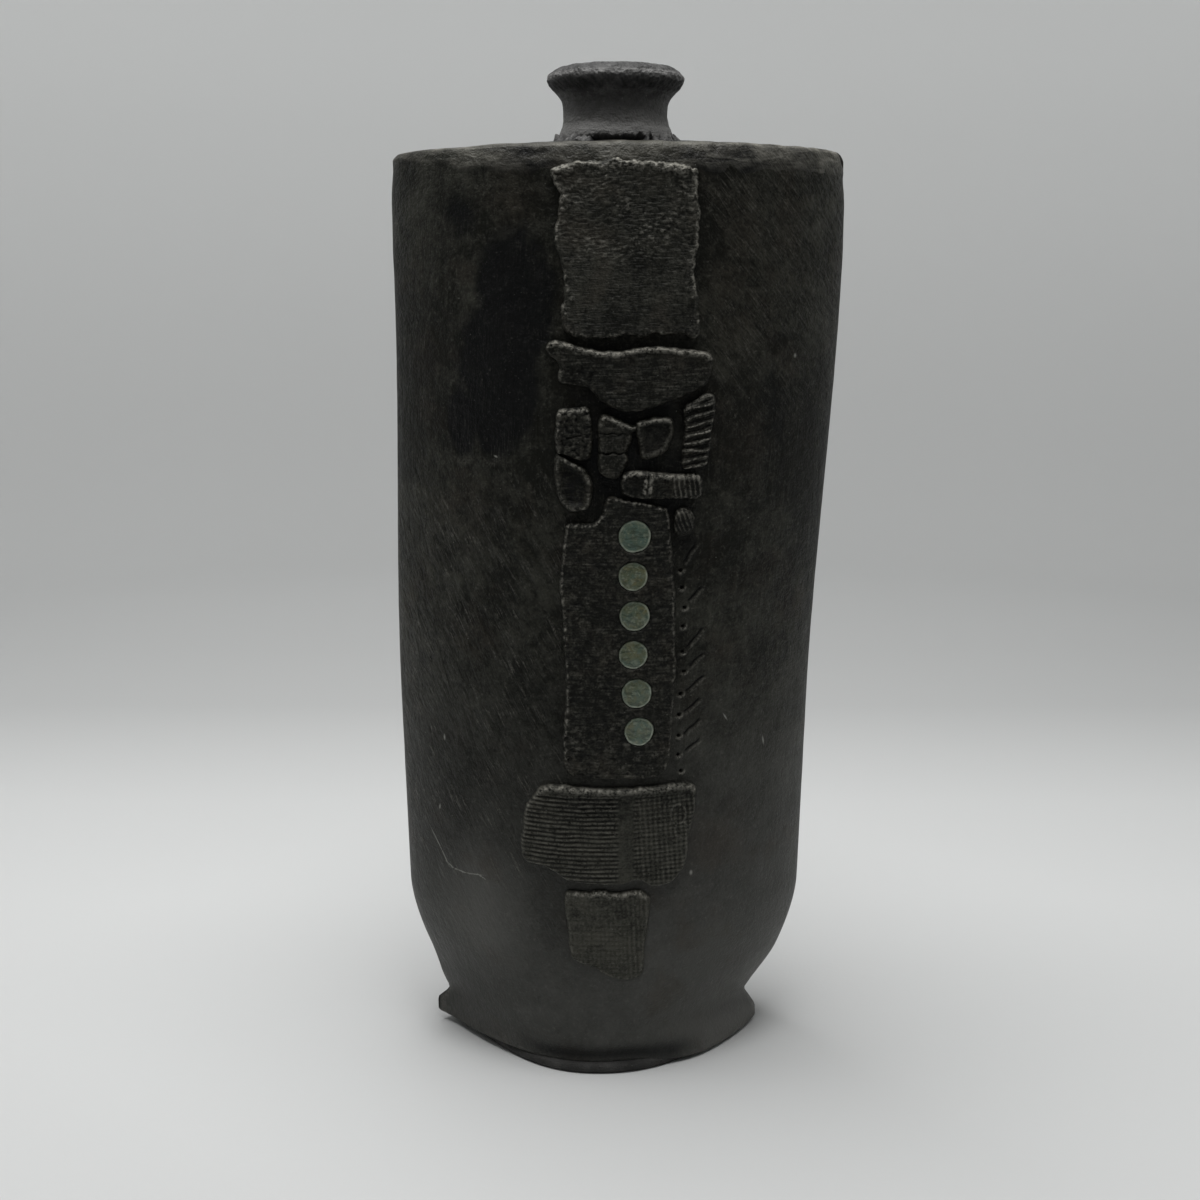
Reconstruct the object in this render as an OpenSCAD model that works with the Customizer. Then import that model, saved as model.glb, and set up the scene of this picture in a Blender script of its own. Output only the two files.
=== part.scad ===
// Flattened black clay bottle vase, built from rolled slabs with a thrown neck.
// Millimetres, Z up, front towards -Y, origin in the middle of the base's underside.

/* [Body] */
// Height of the outer edge of the shoulder above the table
shoulder_h = 325; // [305:1:345]
// Half width of the body just above the turned-in foot
foot_half_w = 73.8; // [70:0.2:80]
// Gain in half width for each millimetre of height
widening = 0.022; // [0:0.001:0.03]
// Height up to which the foot turns in
foot_h = 60; // [54:1:72]
// How far the foot turns in at each side seam
foot_tuck = 16.3; // [12:0.1:18]
// Half depth of the body at the base and at the shoulder
base_half_d = 41; // [38:0.5:46]
// Extra half depth halfway up
belly = 3; // [0:0.5:5]
// Sideways lean of the top
lean = 4.8; // [0:0.2:7]
// Sideways step of the body just above the base
foot_shift = 2.6; // [0:0.1:4]
// How far the body draws in just below the shoulder
shoulder_tuck = 1.5; // [0:0.1:3]

/* [Slabs] */
// Thickness of the two wall slabs
wall_t = 6.5; // [5:0.5:8]
// Thickness of the shoulder slab at its edge
shoulder_t = 6; // [4:0.5:8]
// Rise of the middle of the shoulder's long edge over its corners
crown = 1.2; // [0:0.1:3]
// Further rise from the edge to the neck
dome = 1; // [0:0.1:3]
// Thickness of the base slab
base_t = 4; // [3:0.5:6]
// Half width of the lens-shaped base slab
base_half_w = 57.5; // [57:0.1:59]
// How far the base slab shows in front of the wall
base_lip = 1.8; // [1.5:0.1:3]
// How far the pinched left ear sticks out at the foot of the side seam
ear_len = 4.2; // [2:0.1:6]
// How far the right half of the wall's foot flares out over the base
flare_w = 7; // [3:0.1:8]
// How far the flare sags towards the table
flare_sag = 2.8; // [0:0.1:3]
// Width of the coils pressed into the inside seams
coil_w = 6; // [4:0.5:8]

/* [Neck] */
// Height of the neck above its seat
neck_h = 27; // [24:0.5:32]
// Diameter of the lip
lip_d = 47; // [44:0.5:52]
// Diameter of the throat
throat_d = 25; // [20:0.5:28]
// Sideways place of the neck
neck_x = 6; // [3:0.5:9]
// Diameter of the torn clay collar
collar_d = 45; // [43:0.5:48]

/* [Clay patches] */
// Thickness of the broad patches
patch_t = 2.6; // [2:0.1:3.5]
// Thickness of the small tiles
tile_t = 2.8; // [2:0.1:3.5]

/* [Glaze dots] */
// Diameter of the stamped sockets
dot_d = 10.4; // [9:0.1:11]
// Depth of the stamped sockets
socket_depth = 1.3; // [1:0.1:1.8]
// Thickness of the pooled glaze
glaze_t = 0.8; // [0.5:0.1:0.9]
// Distance from dot to dot
dot_pitch = 13.6; // [12:0.1:13.8]

/* [Hidden] */

$fn = 96;

// Colours
clay = "#33322f";
dark_clay = "#262523";
raw_clay = "#3b3a37";
glaze = "#5f7d72";

// Heights and bends of the body
design_h = 325;
waist_h = 14;
tuck_bend = 1.6;
widening_top = 290;
lean_start = 130;
lean_end = 290;
wall_top = shoulder_h - shoulder_t;
wall_rows = 34;
wall_cols = 32;
row_spread = 1.5;
wall_x = -0.5;
tuck_start = 305;
tuck_rise = 20;
edge_round = 0.8;

// Ear and flare at the foot: how narrow the ear is, and the turns and heights of the flare
ear_pinch = 24;
ear_sag = 1.2;
ear_rise = 6;
flare_start = 14;
flare_spread = 16;
flare_fade = 45;
flare_loss = 2.3;
flare_top = [20, 13];
flare_rise = [16, 6];
sag_top = 12;
sag_rise = 8;

// Plan of the body: nearly a pointed lens at the foot, rounder at its ends higher up
foot_roundness = 1.05;
more_roundness = 0.4;
round_h = 70;

function smooth(t) = let (c = min(max(t, 0), 1)) c * c * (3 - 2 * c);

// Places of features are given for the design height and move with the real one
function lift(z) = z * shoulder_h / design_h;

function centre_x(z) =
    wall_x + foot_shift * smooth((z - waist_h + 1) / 20)
    + lean * smooth((z - lift(lean_start)) / lift(lean_end - lean_start));

function half_w(z) =
    foot_half_w + widening * (min(max(z, foot_h), widening_top) - foot_h)
    - foot_tuck * pow(min(max(foot_h - z, 0) / (foot_h - waist_h), 1), tuck_bend)
    - shoulder_tuck * smooth((z - lift(tuck_start)) / tuck_rise);

function half_d(z) = base_half_d + belly * sin(180 * z / shoulder_h);

function plan_power(z) = 2 / (foot_roundness + more_roundness * smooth(z / round_h));

// Point on the body at a turn about its axis: -90 left seam, 0 front, 90 right seam, 180 back
function body_point(turn, z, inset) =
    let (across = sin(turn), along = cos(turn))
    [
        centre_x(z) + (half_w(z) - inset) * across,
        -(half_d(z) - inset) * sign(along) * pow(abs(along), plan_power(z)),
        z
    ];

// Mixes the two ends of a pair
function mix(pair, part) = pair[0] + (pair[1] - pair[0]) * part;

// Push outwards that flares the right half of the wall's foot over the base
function flare(turn, z) =
    let (seam = smooth((abs(turn) - flare_fade) / flare_fade))
    turn < 0 ? 0
        : (flare_w * smooth((turn - flare_start) / flare_spread) - flare_loss * seam)
            * smooth((mix(flare_top, seam) - z) / mix(flare_rise, seam));

// Move of a wall point at the foot: the left seam is pinched into an ear, the flare sags
function foot_move(turn, z) =
    let (
        pinch = turn < 0 ? pow(abs(sin(turn)), ear_pinch) : 0,
        low = smooth((sag_top - z) / sag_rise)
    )
    [
        -ear_len * pinch * smooth((waist_h - z) / ear_rise),
        0,
        -low * (ear_sag * pinch + flare_sag * smooth((turn - flare_start) / flare_spread))
    ];

// Point on the front wall from its place across and its height, raised off the wall by out
function front_point(x, z, out) =
    let (u = (x - centre_x(z)) / (half_w(z) + out))
    [x, -(half_d(z) + out) * pow(max(1 - u * u, 0), plan_power(z) / 2), z];

// Angle of the front wall to the X axis
function front_angle(x, z) = atan((front_point(x + 1, z, 0).y - front_point(x - 1, z, 0).y) / 2);

// Triangles of a closed slab between two grids of (rows + 1) x (cols + 1) points
function slab_faces(rows, cols) =
    let (w = cols + 1, back = (rows + 1) * w)
    concat(
        [for (r = [0:rows - 1], c = [0:cols - 1]) let (p = r * w + c)
            each [[p, p + w, p + 1], [p + 1, p + w, p + w + 1]]],
        [for (r = [0:rows - 1], c = [0:cols - 1]) let (p = back + r * w + c)
            each [[p, p + 1, p + w], [p + 1, p + w + 1, p + w]]],
        [for (r = [0:rows - 1], side = [0, cols]) let (p = r * w + side, q = p + back)
            each side == 0
                ? [[p, q, p + w], [q, q + w, p + w]]
                : [[p, p + w, q], [q, p + w, q + w]]],
        [for (c = [0:cols - 1], end = [0, rows]) let (p = end * w + c, q = p + back)
            each end == 0
                ? [[p, p + 1, q], [q, p + 1, q + 1]]
                : [[p, q, p + 1], [q, q + 1, p + 1]]]
    );

// Closed solid through a stack of flat loops with the same number of points
module loft(loops) {
    n = len(loops[0]);
    last = (len(loops) - 1) * n;
    polyhedron(
        points = [for (loop = loops) each loop],
        faces = concat(
            [[for (i = [0:n - 1]) i]],
            [for (k = [0:len(loops) - 2], i = [0:n - 1])
                let (p = k * n + i, q = k * n + (i + 1) % n)
                each [[p, p + n, q], [q, p + n, q + n]]],
            [[for (i = [n - 1:-1:0]) last + i]]
        ),
        convexity = 6
    );
}

// Wall slab: its first row of points is the underside that rests on the base slab
module front_slab() {
    rise = wall_top - base_t - edge_round;
    turns = [for (c = [0:wall_cols]) -90 + 180 * c / wall_cols];
    heights = [
        for (r = [0:wall_rows]) base_t + edge_round + rise * pow(r / wall_rows, row_spread)
    ];
    underside = [for (turn = turns) body_point(turn, base_t, edge_round)];
    outer = [
        for (z = heights, turn = turns)
            body_point(turn, z, -flare(turn, z)) + foot_move(turn, z)
    ];
    inner = [
        for (z = concat(base_t, heights), turn = turns)
            body_point(turn, z, wall_t)
    ];
    color(clay)
        polyhedron(
            concat(underside, outer, inner),
            slab_faces(wall_rows + 1, wall_cols),
            convexity = 6
        );
}

module back_slab() {
    mirror([0, 1, 0]) front_slab();
}

// Level loop around the whole body, shrunk by a scale and an inset
function body_loop(z, inset, shrink = 1) = [
    for (turn = [-90:5.625:264.375])
        let (p = body_point(turn, z, inset), c = centre_x(z))
        [c + shrink * (p.x - c), shrink * p.y, z]
];

module shoulder_slab() {
    edge_bevel = [[0.5, 0], [0.8, 0.5], [1.5, 0.85], [3.2, 1]];
    shrinks = [0.85, 0.7, 0.5, 0.3];
    crown_shift = 0.2;
    under = shoulder_h - shoulder_t;
    c = centre_x(shoulder_h);
    function crowned(p, part) =
        let (u = (p.x - c) / half_w(shoulder_h) - crown_shift)
        [p.x, p.y, p.z + part * crown * (1 - u * u)];
    edge = [
        for (e = edge_bevel)
            [for (p = body_loop(under + shoulder_t * e[1], e[0])) crowned(p, e[1])]
    ];
    top = [
        for (s = shrinks)
            [for (p = body_loop(shoulder_h + dome * (1 - s * s), 3.2, s)) crowned(p, 1)]
    ];
    middle = [body_loop(shoulder_h + dome + crown, 3.2, 0.1)];
    seat_z = shoulder_h + 1;
    hole_d = throat_d + 2;
    color(clay)
        difference() {
            loft(concat(edge, top, middle));
            translate([neck_x, 0, seat_z])
                cylinder(d = collar_d, h = shoulder_t);
            translate([neck_x, 0, under - 1])
                cylinder(d = hole_d, h = shoulder_t + 3);
        }
}

module base_slab() {
    half_depth = base_half_d + base_lip;
    lens_power = 2.2;
    color(dark_clay)
        linear_extrude(base_t)
            polygon([
                for (a = [0:6:354])
                    [
                        base_half_w * cos(a),
                        half_depth * sign(sin(a)) * (1 - pow(abs(cos(a)), lens_power))
                    ]
            ]);
}

// Outer profile of the neck: radius and height as parts of the waist, the lip and neck_h
module neck() {
    lip_r = lip_d / 2;
    foot_r = lip_r - 3.9;
    waist_r = lip_r - 5.7;
    throat_r = throat_d / 2;
    profile = [
        [throat_r, 0],
        [foot_r, 0],
        [foot_r, 0.2],
        [foot_r - 1.3, 0.28],
        [waist_r, 0.46],
        [waist_r + 0.2, 0.55],
        [waist_r + 1.1, 0.62],
        [waist_r + 2.8, 0.69],
        [waist_r + 4.6, 0.76],
        [lip_r, 0.84],
        [lip_r - 1.1, 0.9],
        [lip_r - 2.3, 0.95],
        [lip_r - 4.2, 0.99],
        [lip_r - 6, 1],
        [throat_r + 2.4, 0.95],
        [throat_r + 0.8, 0.85],
        [throat_r, 0.7]
    ];
    color(raw_clay)
        translate([neck_x, 0, shoulder_h + 1])
            rotate_extrude()
                polygon([for (p = profile) [p[0], p[1] * neck_h]]);
}

// Torn clay pressed round the joint of neck and shoulder
module neck_collar() {
    inner_r = lip_d / 2 - 3.9;
    outer_r = collar_d / 2;
    color(raw_clay)
        translate([neck_x, 0, shoulder_h + 1])
            rotate_extrude()
                polygon([
                    [inner_r, 0],
                    [outer_r, 0],
                    [outer_r, 1.6],
                    [outer_r - 0.6, 3],
                    [outer_r - 1.6, 4.4],
                    [inner_r, 5.2]
                ]);
}

// Coil pressed into a side seam from inside: side is -1 left, 1 right
module seam_coil(side) {
    spread = 17;
    bulge = 1;
    rows = 24;
    low = base_t + coil_w + 0.5;
    high = wall_top - 0.5;
    function coil_loop(z) =
        let (
            c = centre_x(z),
            edge = [for (t = [90 - spread:spread / 3:90 + spread]) body_point(t, z, wall_t)],
            face = [for (k = [1, 0, -1]) [edge[0].x - bulge * (2 - abs(k)), -k * edge[0].y / 2, z]]
        )
        [for (p = concat(edge, face)) [c + side * (p.x - c), side * p.y, z]];
    color(dark_clay)
        loft([for (r = [0:rows]) coil_loop(low + (high - low) * r / rows)]);
}

// Coil pressed round the inside of the base
module base_seam_coil() {
    section = [[0, 0], [0, 1], [0.6, 0.6], [1, 0]];
    loops = [for (s = section) body_loop(base_t + coil_w * s[1], wall_t + coil_w * s[0])];
    n = len(loops[0]);
    m = len(loops);
    color(dark_clay)
        polyhedron(
            points = [for (loop = loops) each loop],
            faces = [
                for (k = [0:m - 1], i = [0:n - 1])
                    let (a = k * n, b = ((k + 1) % m) * n, j = (i + 1) % n)
                    each [[a + i, b + i, a + j], [a + j, b + i, b + j]]
            ],
            convexity = 8
        );
}

// Patch of clay that follows the front wall. Each row is [height, left edge, right edge]
module wall_patch(outline, thickness) {
    cols = max(3, ceil(max([for (o = outline) o[2] - o[1]]) / 6));
    function sheet(out) = [
        for (o = outline, c = [0:cols])
            front_point(o[1] + (o[2] - o[1]) * c / cols, lift(o[0]), out)
    ];
    polyhedron(
        concat(sheet(thickness), sheet(0)),
        slab_faces(len(outline) - 1, cols),
        convexity = 4
    );
}

module upper_patch() {
    color(clay)
        wall_patch([
            [264, -5.5, 28.5],
            [266, -10, 33.5],
            [274, -11.5, 32.5],
            [283, -10.5, 31],
            [291, -12.5, 32],
            [296, -14.5, 32.5],
            [304, -12, 33],
            [311, -12.5, 31.5],
            [315, -15, 32],
            [318, -15, 30.5],
            [319, -6.5, 22.5]
        ], patch_t);
}

module boat_band() {
    color(clay)
        wall_patch([
            [240, 5.5, 13.5],
            [243.5, 1, 22.5],
            [246.5, -1.5, 32],
            [248.5, -11.5, 35.5],
            [252.5, -13, 37.5],
            [256, -12.5, 38],
            [259, -16, 36.5],
            [261, -18, 19.5],
            [263, -14.5, -9.5]
        ], tile_t);
}

module tile_upper_left() {
    color(clay)
        wall_patch([
            [223.5, -8.5, -3],
            [225.5, -14, -2.5],
            [233, -14, -2],
            [240, -13.5, -2.5],
            [241, -8.5, -3.5]
        ], tile_t);
}

module tile_lower_left() {
    color(clay)
        wall_patch([
            [206.5, -8, -5.5],
            [208, -11.5, -3],
            [212, -13.5, -2],
            [218, -14.5, -3],
            [220.5, -14.5, -5.5],
            [223, -13.5, -10.5]
        ], tile_t);
}

module tile_centre() {
    color(clay)
        wall_patch([
            [218, 3, 7],
            [219.5, 0.5, 7.5],
            [224.5, 0, 10],
            [226.5, 0, 9],
            [230, 0, 11],
            [233, 0, 10.5],
            [236.5, 0, 8],
            [238.5, 1.5, 4]
        ], tile_t);
}

module tile_square() {
    color(clay)
        wall_patch([
            [224, 14.5, 16.5],
            [225, 13.5, 20],
            [227, 13.5, 23],
            [230, 13.5, 24],
            [233, 12.5, 25],
            [236.5, 12.5, 25],
            [238, 17, 22.5]
        ], tile_t);
}

module tile_ribbed() {
    color(clay)
        wall_patch([
            [220.5, 28, 32.5],
            [221.5, 28, 36],
            [228.5, 28.5, 37.5],
            [233, 29, 37.5],
            [237, 28.5, 38.5],
            [241.5, 28, 39],
            [243, 31.5, 38.5],
            [245, 34.5, 37.5]
        ], tile_t);
}

module ribbed_bar() {
    color(clay)
        wall_patch([
            [210.5, 20.5, 33.5],
            [212.5, 8.5, 35],
            [215.5, 7.5, 35],
            [217, 8, 34.5],
            [219, 8.5, 33.5],
            [220, 9, 13.5]
        ], tile_t);
}

module pellet() {
    centre = [29, 203];
    half_size = [3.7, 5];
    color(clay)
        wall_patch([
            for (a = [-80:20:80])
                [
                    centre.y + half_size.y * sin(a),
                    centre.x - half_size.x * cos(a),
                    centre.x + half_size.x * cos(a)
                ]
        ], tile_t);
}

// Sideways places of the glaze dots, from the top one down
dot_x = [12.2, 11.7, 12.3, 11.9, 13.1, 14];
top_dot_z = 198.3;

// Moves a shape drawn upwards so that it points out of the panel at one dot
module at_dot(k, out) {
    z = lift(top_dot_z - k * dot_pitch);
    translate(front_point(dot_x[k], z, out))
        rotate([90, 0, front_angle(dot_x[k], z)])
            children();
}

module notched_panel() {
    color(clay)
        difference() {
            wall_patch([
                [113, -10.5, 22],
                [118.5, -11.5, 24.5],
                [124, -12, 25],
                [133.5, -11.5, 25.5],
                [142, -10.5, 26],
                [153, -11, 26.5],
                [164, -11.5, 26],
                [175, -12, 26],
                [180, -13, 26],
                [189, -12, 25],
                [200.5, -11, 24],
                [202.5, -10, 24],
                [203.5, 0, 24],
                [206.5, 1.5, 23.5],
                [208.5, 2.5, 19.5],
                [210.5, 3, 8.5],
                [212, 3.5, 5]
            ], patch_t);
            for (k = [0:5])
                at_dot(k, patch_t - socket_depth)
                    cylinder(d = dot_d, h = 2 * patch_t);
        }
}

module combed_band() {
    color(clay)
        wall_patch([
            [72, 18.5, 24.5],
            [74, -2.5, 27.5],
            [75.5, -11.5, 28.5],
            [78, -14.5, 29.5],
            [80.5, -19.5, 31],
            [83, -27, 31],
            [87.5, -27.5, 31.5],
            [93, -26.5, 32],
            [99, -25.5, 34],
            [104.5, -24, 34],
            [107, -22, 34.5],
            [110.5, -19, 31]
        ], patch_t);
}

module lower_tab() {
    color(clay)
        wall_patch([
            [36.5, 7.5, 13.5],
            [39, 2.5, 16],
            [42, -1, 16],
            [44.5, -8.5, 16],
            [48.5, -10, 16.5],
            [57, -10.5, 17.5],
            [65, -11.5, 18.5],
            [68.5, -12, 19],
            [71.5, -9.5, 16]
        ], tile_t);
}

module glaze_dot(k) {
    color(glaze)
        at_dot(k, patch_t - socket_depth)
            cylinder(d = dot_d - 0.2, h = glaze_t);
}

front_slab();
back_slab();
shoulder_slab();
base_slab();
neck();
neck_collar();
seam_coil(-1);  // left_seam_coil
seam_coil(1);  // right_seam_coil
base_seam_coil();
upper_patch();
boat_band();
tile_upper_left();
tile_lower_left();
tile_centre();
tile_square();
tile_ribbed();
ribbed_bar();
pellet();
notched_panel();
combed_band();
lower_tab();
for (k = [0:5]) {
    glaze_dot(k);
}
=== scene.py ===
import math

import bmesh
import bpy
import numpy as np
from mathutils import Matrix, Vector


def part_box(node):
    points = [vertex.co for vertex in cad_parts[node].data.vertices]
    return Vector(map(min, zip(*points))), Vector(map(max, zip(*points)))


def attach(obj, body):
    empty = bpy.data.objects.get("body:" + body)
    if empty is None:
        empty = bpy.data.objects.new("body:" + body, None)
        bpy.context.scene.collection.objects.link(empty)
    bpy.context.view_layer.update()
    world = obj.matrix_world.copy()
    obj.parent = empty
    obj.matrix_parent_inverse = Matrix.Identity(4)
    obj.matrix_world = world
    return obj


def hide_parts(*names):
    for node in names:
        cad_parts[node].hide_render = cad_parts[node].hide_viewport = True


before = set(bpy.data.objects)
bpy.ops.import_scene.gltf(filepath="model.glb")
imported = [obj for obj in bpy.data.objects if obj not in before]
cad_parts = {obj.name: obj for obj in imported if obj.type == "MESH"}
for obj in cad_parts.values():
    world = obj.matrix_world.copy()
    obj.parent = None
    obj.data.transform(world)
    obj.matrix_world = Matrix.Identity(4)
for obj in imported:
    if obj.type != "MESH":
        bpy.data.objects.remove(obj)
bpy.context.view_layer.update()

MM = 0.001


def box_mm(node):
    """Lowest and highest corner of a CAD part, in mm."""
    return np.array([list(corner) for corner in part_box(node)]) / MM


# Body sizes in mm, the same as in the CAD
WALL_FOOT = 4.0
WALL_TOP = box_mm("front_slab")[1, 2]
SHOULDER_H = 325.0
WALL_T = 6.5
NECK_X = 6.0
SEAT_Z, NECK_TOP = box_mm("neck")[:, 2]
SEAT_R = 22.5
HOLE_R = 13.5

# First seed of each wall's lumps; the front's are shared by all that lies on it
FRONT_SEED = 20
BACK_SEED = 40

# ---- shaping


def smooth(t):
    """0 below 0, 1 above 1, and a smooth step between."""
    t = np.clip(t, 0, 1)
    return t * t * (3 - 2 * t)


def ramp(t, low, high):
    """0 at low and 1 at high, with a smooth step between; high may be the lower."""
    return smooth((t - low) / (high - low))


def hump(t, middle=0.0, width=1.0):
    """1 at the middle, fading to nothing by about two widths either side."""
    return np.exp(-(((t - middle) / width) ** 2))


def within(t, low, high, soft):
    """1 from low to high, fading over soft beyond each end."""
    return smooth(1 + (t - low) / soft) * smooth(1 + (high - t) / soft)


def noise(x, y, seed):
    """Smooth noise from about -1 to 1, with one lump to a unit."""
    angles = np.random.default_rng(seed).uniform(0, 2 * np.pi, (64, 64))
    left, low = np.floor(x).astype(int), np.floor(y).astype(int)
    u, v = x - left, y - low

    def corner(du, dv):
        angle = angles[(left + du) % 64, (low + dv) % 64]
        return np.cos(angle) * (u - du) + np.sin(angle) * (v - dv)

    a = u * u * u * (u * (u * 6 - 15) + 10)
    b = v * v * v * (v * (v * 6 - 15) + 10)
    bottom = corner(0, 0) * (1 - a) + corner(1, 0) * a
    top = corner(0, 1) * (1 - a) + corner(1, 1) * a
    return 1.5 * (bottom * (1 - b) + top * b)


def fractal(x, y, size, seed, octaves=3):
    """Noise with finer noise on it; size is its largest lump in mm."""
    return sum(
        noise(x * 2**k / size, y * 2**k / size, seed + k) / 2**k for k in range(octaves)
    )


def marching(low, high, step, fine_low, fine_high, fine):
    """Values from low to high, step apart, and fine apart in the stretch given."""
    values = [low]
    while values[-1] < high:
        near = fine_low <= values[-1] < fine_high
        values.append(values[-1] + (fine if near else step))
    values[-1] = high
    return np.array(values)


# ---- the body


def centre_x(z):
    """Middle of the body at a height, in mm; the two below give its half sizes."""
    return -0.5 + 2.6 * ramp(z, 13, 33) + 4.8 * ramp(z, 130, 290)


def half_w(z):
    taper = 0.022 * (np.clip(z, 60, 290) - 60)
    tuck = 16.3 * np.clip((60 - z) / 46, 0, 1) ** 1.6
    return 73.8 + taper - tuck - 1.5 * ramp(z, 305, 325)


def half_d(z):
    return 41 + 3 * np.sin(np.pi * z / SHOULDER_H)


def plan_power(z):
    """How full the plan is: the lower, the fuller at the sides."""
    return 2 / (1.05 + 0.4 * smooth(z / 70))


def body_point(turn, z, inset):
    """Point on the body's plan: turn is -90 at the left seam, 0 in front and 90 at the right."""
    angle = np.radians(turn)
    cosine = np.cos(angle)
    x = centre_x(z) + (half_w(z) - inset) * np.sin(angle)
    y = -(half_d(z) - inset) * np.sign(cosine) * np.abs(cosine) ** plan_power(z)
    return np.stack(np.broadcast_arrays(x, y, z), axis=-1)


def flare(turn, z):
    """How far the foot's right side spreads over the base."""
    seam = ramp(turn, 45, 90)
    spread = 5.4 * ramp(turn, 8, 42) - 1.2 * seam
    return spread * smooth((20 - 7 * seam - z) / (16 - 10 * seam))


def foot_move(turn, z):
    """How far the foot's pinched ears and its right side move."""
    pinch = np.abs(np.sin(np.radians(turn))) ** 24 * (turn < 0)
    low = ramp(z, 12, 4)
    lift = 0.8 * pinch - 1.1 * ramp(turn, -35, -65) - 2.4 * ramp(turn, 8, 42)
    lobe = ramp(z, 14, 9) * smooth((z + 1) / 6.5)
    return np.stack([-4.4 * pinch * lobe, 0 * lift, lift * low], axis=-1)


def joint_rise(x):
    """Height of the line between wall and shoulder, over its CAD height."""
    return 3.4 * ramp(x, -36, -70) + 0.5 * noise(x / 9, x * 0 + 3.3, 11)


def wall_lumps(x, z, seed):
    """Low hand-made unevenness of a wall slab, in mm."""
    return (
        0.36 * noise(x / 46, z / 60, seed)
        + 0.16 * noise(x / 19, z / 27, seed + 1)
        + 0.08 * fractal(x, z, 6, seed + 2, 2)
    )


def front_point(x, z, out):
    """Point on the front wall, with its lumps, out mm proud of it."""
    out = out + wall_lumps(x, z, FRONT_SEED)
    u = (x - centre_x(z)) / (half_w(z) + out)
    y = -(half_d(z) + out) * (1 - u * u) ** (plan_power(z) / 2)
    return np.stack([x, y, z], axis=-1)


def about_neck(radius, angle, z):
    """Points round the neck's axis; angle is 0 in front."""
    x = NECK_X + radius * np.sin(angle)
    return np.stack(np.broadcast_arrays(x, -radius * np.cos(angle), z), axis=-1)


def full_turn(steps):
    """Angles of a full turn, in radians."""
    return np.linspace(0, 2 * np.pi, steps + 1)[:-1]


def normals(points):
    """Unit normals of a grid of points."""
    normal = np.cross(np.gradient(points, axis=1), np.gradient(points, axis=0))
    return normal / np.maximum(np.linalg.norm(normal, axis=-1, keepdims=True), 1e-9)


def refined(loop, times):
    """The closed loop with more points, its corners cut a little each time."""
    loop = np.asarray(loop, float)
    for _ in range(times):
        after = np.roll(loop, -1, axis=0)
        loop = np.stack([0.75 * loop + 0.25 * after, 0.25 * loop + 0.75 * after], axis=1)
        loop = loop.reshape(-1, loop.shape[-1])
    return loop


# ---- meshes


def added(name, data):
    """A new object in the scene that shows a mesh, light or camera."""
    made = bpy.data.objects.new(name, data)
    bpy.context.scene.collection.objects.link(made)
    return made


def piece(name, nodes, points, faces, material, wear_and_highlight, dark=0.0, sharp=55):
    """A mesh piece that stands for the CAD nodes given, from points in mm. Its points carry how
    pale the clay is painted, for dust, rubbing and painted highlights, and how dark, mostly painted
    shade in hollows, gaps and under edges."""
    points = np.reshape(points, (-1, 3))
    mesh = bpy.data.meshes.new(name)
    mesh.from_pydata((points * MM).tolist(), [], faces)
    work = bmesh.new()
    work.from_mesh(mesh)
    bmesh.ops.recalc_face_normals(work, faces=work.faces)
    work.to_mesh(mesh)
    work.free()
    for label, values in (("wear_and_highlight", wear_and_highlight), ("dark", dark)):
        values = np.clip(np.broadcast_to(np.ravel(values), len(points)), 0, 1)
        layer = mesh.attributes.new(label, "FLOAT", "POINT")
        layer.data.foreach_set("value", values.astype(np.float32))
    mesh.shade_smooth()
    mesh.set_sharp_from_angle(angle=math.radians(sharp))
    mesh.materials.append(material)
    made = added(name, mesh)
    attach(made, "root")
    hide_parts(*nodes)
    return made


def grid_faces(rows, cols, start=0, round_cols=False, round_rows=False):
    """Four-sided faces of a grid of points stored row by row; a grid that goes round
    has its last column or row joined to its first."""
    row = np.arange(rows if round_rows else rows - 1)
    col = np.arange(cols if round_cols else cols - 1)
    row, col = (grid.ravel() for grid in np.meshgrid(row, col))
    above, after = (row + 1) % rows, (col + 1) % cols
    corners = ((row, col), (row, after), (above, after), (above, col))
    return np.stack([start + r * cols + c for r, c in corners], axis=-1).tolist()


def capped_faces(rings, around):
    """Faces of closed rings stacked up, with one face over each end."""
    first = list(range(around))
    last = list(range((rings - 1) * around, rings * around))
    return grid_faces(rings, around, round_cols=True) + [first, last]


def zipped(chain_a, places_a, chain_b, places_b):
    """Triangles that join two chains of points lying side by side."""
    faces, i, j = [], 0, 0
    while i < len(chain_a) - 1 or j < len(chain_b) - 1:
        a_next = places_a[i + 1] if i < len(chain_a) - 1 else 1e9
        b_next = places_b[j + 1] if j < len(chain_b) - 1 else 1e9
        if a_next <= b_next:
            faces.append((chain_a[i], chain_a[i + 1], chain_b[j]))
            i += 1
        else:
            faces.append((chain_a[i], chain_b[j + 1], chain_b[j]))
            j += 1
    return faces


# ---- materials


# Numbers of the Mix node's two colour inputs and its colour output
COLOUR_A = 6
COLOUR_B = 7
COLOUR_OUT = 2


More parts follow.
